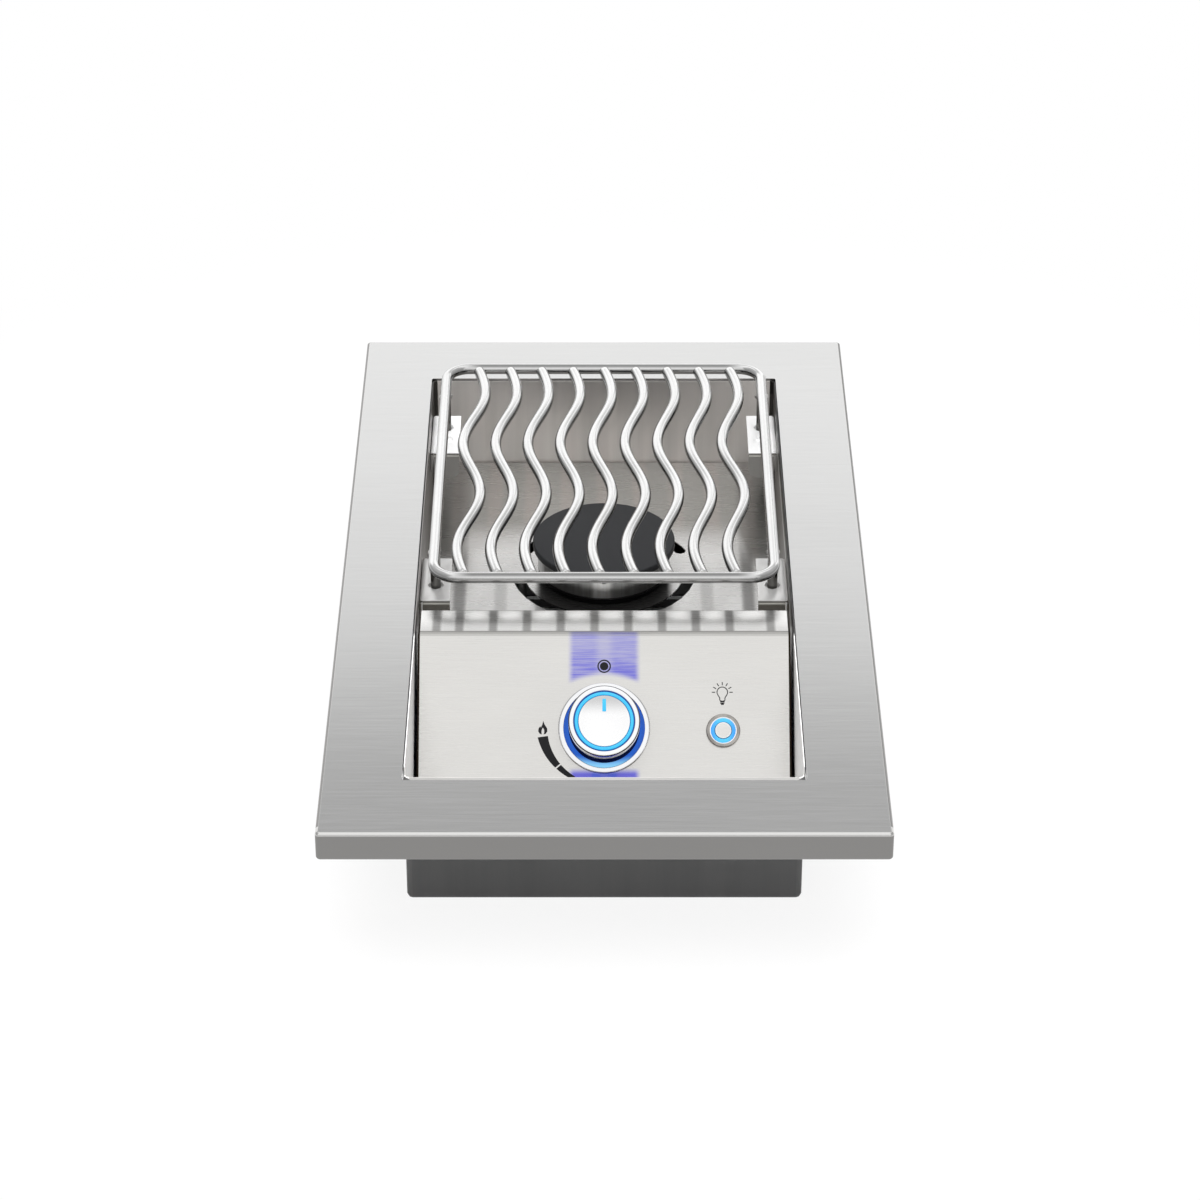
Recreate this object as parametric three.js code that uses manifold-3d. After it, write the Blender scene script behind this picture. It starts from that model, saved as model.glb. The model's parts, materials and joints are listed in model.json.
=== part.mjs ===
// Built-in gas side burner: a drop-in stainless trim frame and casing, one burner under
// a lift-off wavy rod grate, and a sloping control panel with a lit knob and switch.
// Millimetres, +Z up, front towards -Y, z = 0 at the underside of the casing.

import * as THREE from 'three';
import { mergeVertices } from 'three/addons/utils/BufferGeometryUtils.js';
import Module from 'manifold-3d';

const wasm = await Module();
wasm.setup();

// Clearances and cutting
const fitGap = 0.3;
const cutOverrun = 2;
const weldTolerance = 0.0001;

// Trim frame: one bent sheet round the opening
const trimWidth = 355.6;
const trimDepth = 635.8;
const openingWidth = 254;
const openingDepth = 520;
const skirtHeight = 20.3;
const trimSheet = 1.2;
const trimBend = 1;
const trimCorner = 2.5;
const openingCorner = 2;
const lipDepth = 8;
const hemReturn = 9;

// Casing: the box under the trim
const casingHeight = 103;
const casingSheet = 1;
const casingBend = 2;
const casingCorner = 3;
const frontWallSetback = 14;
const casingTopDrop = 1.5;
const ventSlotLength = 46;
const ventSlotWidth = 6;
const ventPitchX = 76;
const ventPitchY = 16;
const ventColumns = 2;
const ventRows = 3;

// Burner pan: the bright floor round the burner
const panFloorDepth = 70;
const panSheet = 1;
const panBend = 1;
const panFlange = 7;
const airSlotInner = 57.4;
const airSlotOuter = 65.8;
const frontSlotStartAngle = -172;
const frontSlotEndAngle = -8;
const rearSlotStartAngle = 27;
const rearSlotEndAngle = 153;

// Control panel: strip, slope and ledge bent from one sheet
const panelAngle = 46;
const stripDepth = 31.7;
const stripDrop = 1;
const panelSheet = 1.2;
const panelBend = 1.2;
const panelSideGap = 2.2;
const panelRearFlange = 10;
const panelLedgeFlange = 12;

// Grate brackets: a shelf with a front lip and a wall flange
const bracketReach = 21;
const bracketLength = 56;
const bracketDrop = 14;
const bracketLip = 20;
const bracketFlange = 16;
const bracketSheet = 1.2;
const bracketBend = 1;
const bracketCorner = 6;
const frontBracketInset = 15.4;
const rearBracketInset = 75.4;
const dimpleDiameter = 11;
const dimpleDepth = 2.5;
const nearDimpleSetback = 21.3;
const farDimpleSetback = 38.4;

// Grate: rod ring, wavy bars and legs
const rodDiameter = 7;
const grateInset = 12.1;
const grateDepth = 291.3;
const grateMargin = 14.6;
const grateRise = 15;
const ringCorner = 17;
const barCount = 9;
const waveHeight = 7;
const waveOffset = -1.1;
const waveHalfCount = 3;
const waveEndRun = 39;
const waveEndAngle = 86;
const legFootChamfer = 0.8;

// Burner head
const burnerSetback = 362;
const ringDiameter = 94;
const ringHeight = 15.3;
const ringWall = 3;
const portCount = 30;
const portWidth = 2.4;
const portDepth = 3.2;
const capDiameter = 100.8;
const capThickness = 5.2;
const capEdge = 1.2;
const capSpigotDepth = 2.6;
const capSpigotWall = 2.5;
const baseFootDiameter = 76;
const baseFootHeight = 2.6;
const baseShoulder = 5.7;
const baseSpigotHeight = 5;
const baseWall = 2.6;
const baseFloor = 3.4;
const throatDiameter = 20;
const throatWall = 1.6;
const throatDrop = 1.8;

// Mixing tube and air shutter
const tubeHeight = 16.5;
const tubeDiameter = 20;
const tubeWall = 1.2;
const mouthDiameter = 26;
const mouthLength = 22;
const injectorLap = 2.3;
const mouthHole = 15;
const windowWidth = 12;
const windowLength = 9;
const shutterLength = 15;
const shutterWall = 1.2;

// Gas valve, stem, spring and bracket, along the knob axis
const valveDiameter = 22;
const valveEarWidth = 31;
const valveEarDepth = 20;
const valveEarHeight = 4;
const valveTail = 6.5;
const valveNoseDepth = 14;
const valveCupWall = 2.9;
const outletDiameter = 14;
const outletLength = 12;
const inletDiameter = 14;
const inletLength = 9;
const gasBore = 4;
const stemDiameter = 8;
const stemFlat = 1;
const stemRunOut = 2.5;
const collarThickness = 1.5;
const collarWall = 2.8;
const springWire = 1.1;
const springTurns = 4;
const bridgeSheet = 1.2;
const bridgeWidth = 24;
const bridgeSpan = 60;
const bridgeFoot = 9;
const bridgeBend = 1.2;

// Injector, gas pipe and inlet
const injectorHexDiameter = 13;
const injectorHexLength = 7;
const injectorTipDiameter = 8;
const injectorTipLength = 12;
const jetDiameter = 1.8;
const pipeDiameter = 10;
const pipeWall = 1;
const pipeBend = 22;
const inletOffset = -60;
const fittingHexDiameter = 19;
const fittingHexLength = 9;
const fittingThreadDiameter = 15;
const fittingThreadLength = 17;
const fittingBore = 8;
const pipeSocketDepth = 4;
const nutDiameter = 24;
const nutLength = 6;

// Knob and bezel
const knobSlope = 63.1;
const knobDiameter = 47.1;
const knobReach = 28;
const knobLift = 1;
const knobTravel = 3.5;
const knobEdge = 1.1;
const knobWall = 2.6;
const knobRecess = 2;
const knobHub = 14;
const lightInner = 34.5;
const lightOuter = 40.2;
const faceDish = 0.9;
const bezelDiameter = 60.7;
const bezelMouth = 53.4;
const bezelRise = 1.8;
const bezelRound = 1.1;
const bezelWellDepth = 6;
const bezelWellFloor = 44;
const bezelWall = 1.5;
const bezelStemHole = 14;
const bezelLightInner = 29;
const bezelLightOuter = 41;
const bezelLightThickness = 1.6;
const screwSpacing = 23;
const screwHead = 5.6;
const screwHeadHeight = 1.9;
const screwShank = 3;

// Push-button light switch
const switchOffset = 78.5;
const switchDrop = 1.8;
const switchDiameter = 22.4;
const switchRim = 2.2;
const switchBarrel = 18.6;
const switchBarrelDepth = 22;
const switchLightOuter = 16.4;
const switchButtonDiameter = 11;
const switchButtonRise = 0.4;
const switchButtonLength = 7;
const switchTravel = 1.5;
const switchNutDiameter = 25;
const switchNutLength = 4;

// Ignition
const insulatorDiameter = 6;
const insulatorCollar = 9;
const insulatorTopDrop = 56;
const insulatorLength = 33;
const electrodeWire = 1.8;
const electrodeTail = 6;
const electrodeRise = 5;
const electrodeBend = 2.5;
const sparkGap = 4.5;
const electrodePlateWidth = 16;
const electrodePlateLength = 34;
const electrodePlateSheet = 1.2;
const electrodePlateCorner = 3;
const moduleWidth = 50;
const moduleDepth = 40;
const moduleHeight = 24;
const moduleCorner = 3;
const moduleOffset = 66;
const moduleSetback = 48.3;
const burnerScrewSpacing = 56;
const burnerScrewHead = 8;
const burnerScrewHeadHeight = 1.9;
const burnerScrewShank = 4;

// How finely round shapes are divided
const bendSteps = 2;
const elbowSteps = 6;
const cornerSteps = 2;
const ringCornerSteps = 4;
const wireSteps = 3;
const slotSteps = 16;
const rodSides = 8;
const railSides = 10;
const barSteps = 23;
const ringSides = 30;
const knobSides = 24;
const switchSides = 18;
const smallSides = 12;
const tinySides = 8;
const hexSides = 6;
const springSides = 5;
const springStepsPerTurn = 8;
const full = Math.PI * 2;
const quarter = Math.PI / 2;

// Places worked out from the sizes above
const radians = THREE.MathUtils.degToRad;
const openingFront = -openingDepth / 2;
const casingHalf = openingWidth / 2 - fitGap;
const casingInnerHalf = casingHalf - casingSheet;
const casingFront = openingFront + frontWallSetback;
const casingRear = openingDepth / 2 - fitGap;
const casingInnerRear = casingRear - casingSheet;
const ledgeTop = casingHeight - lipDepth - fitGap;
const panFloor = casingHeight - panFloorDepth;
const panelSlopeAngle = radians(panelAngle);
const panelTop = casingHeight - stripDrop;
const panelHalf = casingInnerHalf - panelSideGap;
const panRear = casingInnerRear - fitGap;
const panHalf = casingInnerHalf - fitGap;
const rodRadius = rodDiameter / 2;
const grateZ = casingHeight + grateRise;
const grateHalf = openingWidth / 2 - grateInset;
const grateRear = openingDepth / 2 - grateInset;
const grateFront = grateRear - grateDepth;
const panelRear = grateFront - grateMargin;
const panelBendY = panelRear - stripDepth;
const panFront = panelRear - panelSheet - fitGap - panSheet;
const barPitch = 2 * grateHalf / (barCount + 1);
const shelfZ = casingHeight - bracketDrop;
const frontBracketY = grateFront + frontBracketInset;
const rearBracketY = grateRear - rearBracketInset;
const burnerY = openingFront + burnerSetback;
const burnerRingZ = panFloor + fitGap + baseShoulder + fitGap;
const capZ = burnerRingZ + ringHeight + fitGap;
const knobCentre = new THREE.Vector3(
  0,
  panelBendY - knobSlope * Math.cos(panelSlopeAngle),
  panelTop - knobSlope * Math.sin(panelSlopeAngle),
);

// Finishes
const finishes = {
  brushedSteel: { color: 0xc9c9c7, roughness: 0.35, metalness: 1 },
  polishedSteel: { color: 0xd2d0cc, roughness: 0.12, metalness: 1 },
  darkSteel: { color: 0x4a4a4a, roughness: 0.6, metalness: 0.4 },
  chrome: { color: 0xe2e4e8, roughness: 0.06, metalness: 1 },
  satinFace: { color: 0xe6e7ea, roughness: 0.3, metalness: 0.8 },
  rodSteel: { color: 0xd6d6d4, roughness: 0.22, metalness: 1 },
  castCap: { color: 0x3b3d40, roughness: 0.75, metalness: 0.2 },
  castAluminium: { color: 0x6c6d70, roughness: 0.6, metalness: 0.8 },
  brass: { color: 0xb9924a, roughness: 0.35, metalness: 1 },
  ceramic: { color: 0xf0ece2, roughness: 0.4, metalness: 0 },
  zincSteel: { color: 0xb4b6b8, roughness: 0.45, metalness: 0.9 },
  blackPlastic: { color: 0x1d1e20, roughness: 0.55, metalness: 0 },
  cyanLight: { color: 0x33c4f5, roughness: 0.3, metalness: 0 },
  blueLight: { color: 0x2f5dd0, roughness: 0.3, metalness: 0 },
};

const sideBurner = new THREE.Group();

// Adds one named piece to its parent group
function addPiece(name, finish, geometry, parent = sideBurner) {
  const mesh = new THREE.Mesh(geometry, new THREE.MeshStandardMaterial(finishes[finish]));
  mesh.name = name;
  parent.add(mesh);
  return mesh;
}

// Turns the faces outwards where a profile or path ran the other way
function facedOut(geometry) {
  const position = geometry.getAttribute('position');
  const index = geometry.getIndex();
  const count = index ? index.count : position.count;
  const corner = (k) => new THREE.Vector3().fromBufferAttribute(position, index ? index.getX(k) : k);
  let volume = 0;
  for (let k = 0; k < count; k += 3) {
    volume += corner(k).dot(corner(k + 1).cross(corner(k + 2)));
  }
  if (volume > 0) {
    return geometry;
  }
  const turned = [];
  for (let k = 0; k < count; k += 3) {
    const at = (offset) => (index ? index.getX(k + offset) : k + offset);
    turned.push(at(0), at(2), at(1));
  }
  geometry.setIndex(turned);
  return geometry;
}

// Position-only geometry with shared corners merged and empty triangles dropped
function welded(geometry) {
  const bare = new THREE.BufferGeometry();
  bare.setAttribute('position', geometry.getAttribute('position').clone());
  if (geometry.getIndex()) {
    bare.setIndex(geometry.getIndex().clone());
  }
  const merged = mergeVertices(bare, weldTolerance);
  const index = merged.getIndex();
  const kept = [];
  for (let k = 0; k < index.count; k += 3) {
    const [a, b, c] = [index.getX(k), index.getX(k + 1), index.getX(k + 2)];
    if (a !== b && b !== c && c !== a) {
      kept.push(a, b, c);
    }
  }
  merged.setIndex(kept);
  return merged;
}

// A closed geometry as a solid that can be joined and cut
function solidOf(geometry) {
  const mesh = welded(geometry);
  return new wasm.Manifold(new wasm.Mesh({
    numProp: 3,
    vertProperties: new Float32Array(mesh.getAttribute('position').array),
    triVerts: new Uint32Array(mesh.getIndex().array),
  }));
}

// The geometry of a solid
function geometryOf(solid) {
  const mesh = solid.getMesh();
  const geometry = new THREE.BufferGeometry();
  geometry.setAttribute('position', new THREE.BufferAttribute(mesh.vertProperties, 3));
  geometry.setIndex(new THREE.BufferAttribute(mesh.triVerts, 1));
  geometry.computeVertexNormals();
  return geometry;
}

// The body with all the joined geometries added, then all the cutters taken away
function shaped(body, joined, cutters = []) {
  let solid = solidOf(body);
  for (const geometry of joined) {
    solid = solid.add(solidOf(geometry));
  }
  for (const geometry of cutters) {
    solid = solid.subtract(solidOf(geometry));
  }
  return geometryOf(solid);
}

// Box between two corners
function boxBetween(x0, y0, z0, x1, y1, z1) {
  const box = new THREE.BoxGeometry(x1 - x0, y1 - y0, z1 - z0);
  return box.translate((x0 + x1) / 2, (y0 + y1) / 2, (z0 + z1) / 2);
}

// Profile of [radius, height] pairs turned round Z
function turned(pairs, sides) {
  const points = pairs.map(([radius, height]) => new THREE.Vector2(radius, height));
  const lathe = new THREE.LatheGeometry(points, sides);
  return facedOut(welded(lathe.rotateX(quarter)));
}

// Round bar between two heights
function roundBar(radius, bottom, top, sides) {
  return turned([[0, bottom], [radius, bottom], [radius, top], [0, top]], sides);
}

// Turned profile that closes on itself, leaving a bore
function turnedRing(pairs, sides) {
  return turned([...pairs, pairs[0]], sides);
}

// Radius whose flat sides still clear a round piece of the given radius
function clearRadius(radius, sides) {
  return (radius + fitGap) / Math.cos(Math.PI / sides);
}

// Outline of a sheet bent along a centre line, with a round bend at each inner corner
function bentSheet(corners, thickness, insideBend) {
  const bend = insideBend + thickness / 2;
  const left = [];
  const right = [];
  const addPair = (point, heading) => {
    const normal = new THREE.Vector2(-Math.sin(heading), Math.cos(heading));
    left.push(point.clone().addScaledVector(normal, thickness / 2));
    right.unshift(point.clone().addScaledVector(normal, -thickness / 2));
  };
  const points = corners.map(([u, v]) => new THREE.Vector2(u, v));
  const headings = points.slice(1).map((point, k) => point.clone().sub(points[k]).angle());
  addPair(points[0], headings[0]);
  for (let k = 1; k < points.length - 1; k += 1) {
    const turn = Math.atan2(
      Math.sin(headings[k] - headings[k - 1]),
      Math.cos(headings[k] - headings[k - 1]),
    );
    const side = Math.sign(turn);
    const run = bend * Math.tan(Math.abs(turn) / 2);
    const before = new THREE.Vector2(Math.cos(headings[k - 1]), Math.sin(headings[k - 1]));
    const start = points[k].clone().addScaledVector(before, -run);
    const centre = new THREE.Vector2(-before.y, before.x).multiplyScalar(side * bend).add(start);
    for (let step = 0; step <= bendSteps; step += 1) {
      const heading = headings[k - 1] + turn * step / bendSteps;
      const normal = new THREE.Vector2(-Math.sin(heading), Math.cos(heading));
      addPair(centre.clone().addScaledVector(normal, -side * bend), heading);
    }
  }
  addPair(points[points.length - 1], headings[headings.length - 1]);
  return [...left, ...right];
}

// Rounded rectangle of points at one height
function roundedLoop(halfX, halfY, radius, z, centreY = 0, stepCount = cornerSteps) {
  const corners = [[1, 1, 0], [-1, 1, 1], [-1, -1, 2], [1, -1, 3]];
  return corners.flatMap(([sideX, sideY, turns]) => {
    const steps = Array.from({ length: stepCount + 1 }, (_, step) => step);
    return steps.map((step) => {
      const angle = quarter * (turns + step / stepCount);
      return new THREE.Vector3(
        sideX * (halfX - radius) + radius * Math.cos(angle),
        centreY + sideY * (halfY - radius) + radius * Math.sin(angle),
        z,
      );
    });
  });
}

// Skin over a row of loops, closed round into a ring or capped at both ends
function loft(loops, closed) {
  const size = loops[0].length;
  const triangles = [];
  const last = closed ? loops.length : loops.length - 1;
  for (let row = 0; row < last; row += 1) {
    const next = (row + 1) % loops.length;
    for (let k = 0; k < size; k += 1) {
      const [a, b] = [row * size + k, row * size + (k + 1) % size];
      const [c, d] = [next * size + (k + 1) % size, next * size + k];
      triangles.push(a, b, c, a, c, d);
    }
  }
  if (!closed) {
    const flat = (loop) => loop.map((p) => new THREE.Vector2(p.x, p.y));
    const cap = (loop) => THREE.ShapeUtils.triangulateShape(flat(loop), []);
    const lastStart = (loops.length - 1) * size;
    for (const [a, b, c] of cap(loops[0])) {
      triangles.push(a, c, b);
    }
    for (const [a, b, c] of cap(loops[loops.length - 1])) {
      triangles.push(lastStart + a, lastStart + b, lastStart + c);
    }
  }
  const geometry = new THREE.BufferGeometry();
  geometry.setFromPoints(loops.flat());
  geometry.setIndex(triangles);
  return facedOut(geometry);
}

// Flat outline of [y, z] points, carried along X between two places
function extrudeAlongX(points, x0, x1) {
  const options = { depth: x1 - x0, bevelEnabled: false };
  const geometry = new THREE.ExtrudeGeometry(new THREE.Shape(points), options);
  const axes = new THREE.Matrix4().makeBasis(
    new THREE.Vector3(0, 1, 0),
    new THREE.Vector3(0, 0, 1),
    new THREE.Vector3(1, 0, 0),
  );
  return geometry.applyMatrix4(axes).translate(x0, 0, 0);
}

// Flat outline of [x, z] points, carried back along Y between two places
function extrudeAlongY(points, y0, y1) {
  const options = { depth: y1 - y0, bevelEnabled: false };
  const geometry = new THREE.ExtrudeGeometry(new THREE.Shape(points), options);
  return geometry.rotateX(quarter).translate(0, y1, 0);
}

// Flat outline of [x, y] points, raised between two heights
function extrudeUp(shape, z0, z1) {
  const options = { depth: z1 - z0, bevelEnabled: false, curveSegments: cornerSteps };
  return new THREE.ExtrudeGeometry(shape, options).translate(0, 0, z0);
}

// Straight-sided slot with round ends, along X
function slotShape(length, width) {
  const half = (length - width) / 2;
  const shape = new THREE.Shape();
  shape.absarc(half, 0, width / 2, -quarter, quarter, false);
  shape.absarc(-half, 0, width / 2, quarter, quarter + Math.PI, false);
  return shape;
}

// Arc-shaped slot with round ends, about the origin
function arcSlotShape(inner, outer, startAngle, endAngle) {
  const middle = (inner + outer) / 2;
  const half = (outer - inner) / 2;
  const arc = (centreX, centreY, radius, from, to, steps) => Array.from({ length: steps }, (_, step) => {
    const angle = from + (to - from) * (step + 1 / 2) / steps;
    return new THREE.Vector2(centreX + radius * Math.cos(angle), centreY + radius * Math.sin(angle));
  });
  const end = (angle, from) => arc(
    middle * Math.cos(angle), middle * Math.sin(angle), half, from, from + Math.PI, cornerSteps * 2,
  );
  return new THREE.Shape([
    ...arc(0, 0, outer, startAngle, endAngle, slotSteps),
    ...end(endAngle, endAngle),
    ...arc(0, 0, inner, endAngle, startAngle, slotSteps),
    ...end(startAngle, startAngle + Math.PI),
  ]);
}

// Route of straight runs joined by round bends, with its points spent on the bends
class BentRoute extends THREE.Curve {
  constructor(corners, bend, stepsPerBend) {
    super();
    this.stations = [corners[0].clone()];
    for (let k = 1; k < corners.length - 1; k += 1) {
      const before = corners[k].clone().sub(corners[k - 1]).normalize();
      const after = corners[k + 1].clone().sub(corners[k]).normalize();
      const turn = before.angleTo(after);
      const run = bend * Math.tan(turn / 2);
      const side = after.clone().addScaledVector(before, -after.dot(before)).normalize();
      const start = corners[k].clone().addScaledVector(before, -run);
      for (let step = 0; step <= stepsPerBend; step += 1) {
        const angle = turn * step / stepsPerBend;
        const point = start.clone().addScaledVector(before, bend * Math.sin(angle));
        this.stations.push(point.addScaledVector(side, bend * (1 - Math.cos(angle))));
      }
    }
    this.stations.push(corners[corners.length - 1].clone());
    this.steps = this.stations.length - 1;
  }

  getPoint(t) {
    const place = Math.min(Math.max(t, 0), 1) * this.steps;
    const station = Math.min(Math.floor(place), this.steps - 1);
    return this.stations[station].clone().lerp(this.stations[station + 1], place - station);
  }

  getUtoTmapping(u) {
    return u;
  }
}

// Round section of the given radius carried along a route
function roundAlong(route, radius, sides, steps) {
  const section = new THREE.Shape(
    Array.from({ length: sides }, (_, side) => {
      const angle = full * (side + 1 / 2) / sides;
      return new THREE.Vector2(radius * Math.cos(angle), radius * Math.sin(angle));
    }),
  );
  return facedOut(welded(new THREE.ExtrudeGeometry(section, {
    extrudePath: route,
    steps,
    bevelEnabled: false,
  })));
}

// Trim frame
function makeTrimFrame() {
  const sideBorder = (trimWidth - openingWidth) / 2;
  const half = trimSheet / 2;
  const hemZ = casingHeight - skirtHeight;
  const section = bentSheet([
    [hemReturn, hemZ + half],
    [half, hemZ + half],
    [half, casingHeight - half],
    [sideBorder - half, casingHeight - half],
    [sideBorder - half, casingHeight - lipDepth],
  ], trimSheet, trimBend);
  const loops = section.map((point) => {
    if (point.x > sideBorder / 2) {
      const outset = sideBorder - point.x;
      return roundedLoop(
        openingWidth / 2 + outset,
        openingDepth / 2 + outset,
        openingCorner + outset,
        point.y,
      );
    }
    const radius = trimCorner * trimCorner / (trimCorner + point.x);
    return roundedLoop(trimWidth / 2 - point.x, trimDepth / 2 - point.x, radius, point.y);
  });
  return loft(loops, true);
}

// Casing with its front ledge, vents and gas inlet hole
function makeCasing() {
  const halfY = (casingRear - casingFront) / 2;
  const centreY = (casingRear + casingFront) / 2;
  const half = casingSheet / 2;
  const floorInset = casingCorner * 4;
  const section = bentSheet([
    [floorInset, half],
    [half, half],
    [half, casingHeight - casingTopDrop],
  ], casingSheet, casingBend);
  const box = loft(section.map((point) => {
    const radius = casingCorner * floorInset / (floorInset + point.x);
    return roundedLoop(casingHalf - point.x, halfY - point.x, radius, point.y, centreY);
  }), false);
  const ledge = boxBetween(
    -casingHalf, openingFront - trimSheet, ledgeTop - casingSheet,
    casingHalf, casingFront + casingSheet, ledgeTop,
  );
  const openFront = boxBetween(
    -casingHalf - cutOverrun, casingFront - cutOverrun, ledgeTop,
    casingHalf + cutOverrun, casingFront + casingCorner, casingHeight + cutOverrun,
  );
  const vents = [];
  for (let row = 0; row < ventRows; row += 1) {
    for (let column = 0; column < ventColumns; column += 1) {
      const shape = slotShape(ventSlotLength, ventSlotWidth);
      const x = ventPitchX * (column - (ventColumns - 1) / 2);
      const y = burnerY + ventPitchY * (row - (ventRows - 1) / 2);
      vents.push(extrudeUp(shape, -cutOverrun, casingSheet + cutOverrun).translate(x, y, 0));
    }
  }
  const inletHole = roundBar(
    clearRadius(fittingThreadDiameter / 2, smallSides),
    -cutOverrun,
    casingSheet + cutOverrun,
    smallSides,
  ).rotateX(quarter).translate(inletOffset, casingRear, tubeHeight);
  return shaped(box, [ledge], [openFront, inletHole, ...vents]);
}

// Burner pan with its two arc air slots, burner hole and electrode passage
function makePan() {
  const halfY = (panRear - panFront) / 2;
  const centreY = (panRear + panFront) / 2;
  const half = panSheet / 2;
  const floorInset = panFlange;
  const section = bentSheet([
    [floorInset, panFloor - half],
    [half, panFloor - half],
    [half, panFloor - panFlange],
  ], panSheet, panBend);
  const tray = loft(section.map((point) => {
    const radius = casingCorner * floorInset / (floorInset + point.x);
    return roundedLoop(panHalf - point.x, halfY - point.x, radius, point.y, centreY);
  }), false);
  const frontWall = boxBetween(
    -panelHalf, panFront, panFloor - panSheet - panBend,
    panelHalf, panFront + panSheet, panelTop - panelSheet - panelBend,
  );
  const airSlots = [
    [frontSlotStartAngle, frontSlotEndAngle],
    [rearSlotStartAngle, rearSlotEndAngle],
  ].map(([start, end]) => {
    const shape = arcSlotShape(airSlotInner, airSlotOuter, radians(start), radians(end));
    return extrudeUp(shape, panFloor - panFlange, panFloor + cutOverrun).translate(0, burnerY, 0);
  });
  const throat = roundBar(
    clearRadius(throatDiameter / 2 + throatWall, ringSides),
    panFloor - panFlange,
    panFloor + cutOverrun,
    ringSides,
  ).translate(0, burnerY, 0);
  const holes = [-1, 1].map((side) => roundBar(
    clearRadius(burnerScrewShank / 2, tinySides),
    panFloor - panFlange,
    panFloor + cutOverrun,
    tinySides,
  ).translate(side * burnerScrewSpacing / 2, burnerY, 0));
  const fittingRelief = roundBar(
    clearRadius(fittingHexDiameter / 2, smallSides),
    panRear - panSheet - cutOverrun,
    panRear + cutOverrun,
    smallSides,
  ).rotateX(-quarter).translate(inletOffset, 0, tubeHeight);
  return shaped(tray, [frontWall], [
    fittingRelief,
    throat,
    ...airSlots,
    ...holes,
  ]);
}

// The knob axis group: origin on the panel's face, Z out of the panel, Y up the slope
const knobAxis = new THREE.Group();
knobAxis.position.copy(knobCentre);
knobAxis.rotation.x = panelSlopeAngle;
sideBurner.add(knobAxis);
knobAxis.updateMatrix();

// Control panel with its knob and switch holes
function makePanel() {
  const half = panelSheet / 2;
  const ledgeZ = casingSheet + fitGap + half;
  const bendY = panelBendY + half * Math.tan(panelSlopeAngle / 2);
  const drop = panelTop - half - ledgeZ;
  const frontY = casingFront + casingSheet + fitGap + half;
  const outline = bentSheet([
    [panelRear - half, panelTop - panelRearFlange],
    [panelRear - half, panelTop - half],
    [bendY, panelTop - half],
    [bendY - drop / Math.tan(panelSlopeAngle), ledgeZ],
    [frontY, ledgeZ],
    [frontY, ledgeZ + panelLedgeFlange],
  ], panelSheet, panelBend);
  const sheet = extrudeAlongX(outline, -panelHalf, panelHalf);
  const through = (radius, sides) => roundBar(radius, -panelSheet - cutOverrun, cutOverrun, sides);
  const knobHole = through(bezelCollarRadius + fitGap, knobSides).applyMatrix4(knobAxis.matrix);
  const switchHole = through(switchBarrel / 2 + fitGap, smallSides)
    .translate(switchOffset, -switchDrop, 0)
    .applyMatrix4(knobAxis.matrix);
  return shaped(sheet, [], [knobHole, switchHole]);
}

// Grate bracket on one side wall, its front edge at the given place
function makeBracket(side, frontY) {
  const half = bracketSheet / 2;
  const wallX = casingInnerHalf - fitGap;
  const innerX = casingInnerHalf - bracketReach;
  const shelf = bentSheet([
    [side * innerX, shelfZ - half],
    [side * (wallX - half), shelfZ - half],
    [side * (wallX - half), shelfZ - bracketFlange],
  ], bracketSheet, bracketBend);
  const body = extrudeAlongY(shelf, frontY + bracketSheet, frontY + bracketLength);
  const lipRun = bentSheet([
    [frontY + bracketSheet * 2 + bracketBend, shelfZ - half],
    [frontY + half, shelfZ - half],
    [frontY + half, shelfZ - bracketLip],
  ], bracketSheet, bracketBend);
  const outerX = wallX - bracketSheet - bracketBend;
  const [lipStart, lipEnd] = side > 0 ? [innerX, outerX] : [-outerX, -innerX];
  const lip = extrudeAlongX(lipRun, lipStart, lipEnd);
  const [cornerStart, cornerEnd] = side > 0
    ? [innerX, innerX + bracketCorner]
    : [-innerX - bracketCorner, -innerX];
  const lipBottom = shelfZ - bracketLip;
  const cornerBlock = boxBetween(
    cornerStart, frontY - cutOverrun, lipBottom,
    cornerEnd, frontY + bracketSheet, lipBottom + bracketCorner,
  );
  const cornerRound = roundBar(bracketCorner, -cutOverrun * 2, cutOverrun * 2, smallSides)
    .rotateX(quarter)
    .translate(side * (innerX + bracketCorner), frontY, lipBottom + bracketCorner);
  const cornerCut = geometryOf(solidOf(cornerBlock).subtract(solidOf(cornerRound)));
  const dimples = [nearDimpleSetback, farDimpleSetback].map((setback) => frontY + setback);
  const cups = dimples.map((y) => roundBar(
    dimpleDiameter / 2 + bracketSheet,
    shelfZ - dimpleDepth - bracketSheet,
    shelfZ - half,
    tinySides,
  ).translate(side * grateHalf, y, 0));
  const hollows = dimples.map((y) => turned([
    [0, shelfZ - dimpleDepth],
    [dimpleDiameter / 2 - bracketBend, shelfZ - dimpleDepth],
    [dimpleDiameter / 2, shelfZ],
    [dimpleDiameter / 2, shelfZ + cutOverrun],
    [0, shelfZ + cutOverrun],
  ], tinySides).translate(side * grateHalf, y, 0));
  return shaped(body, [lip, ...cups], [cornerCut, ...hollows]);
}

// Ring of the grate, at the rod's own radius or thicker for coping the ends that meet it
function makeRing(radius) {
  const centreY = (grateRear + grateFront) / 2;
  const section = Array.from({ length: railSides }, (_, side) => full * side / railSides);
  return loft(section.map((angle) => {
    const reach = radius * Math.cos(angle);
    return roundedLoop(
      grateHalf + reach,
      grateDepth / 2 + reach,
      ringCorner + reach,
      grateZ + radius * Math.sin(angle),
      centreY,
      ringCornerSteps,
    );
  }), true);
}

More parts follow.
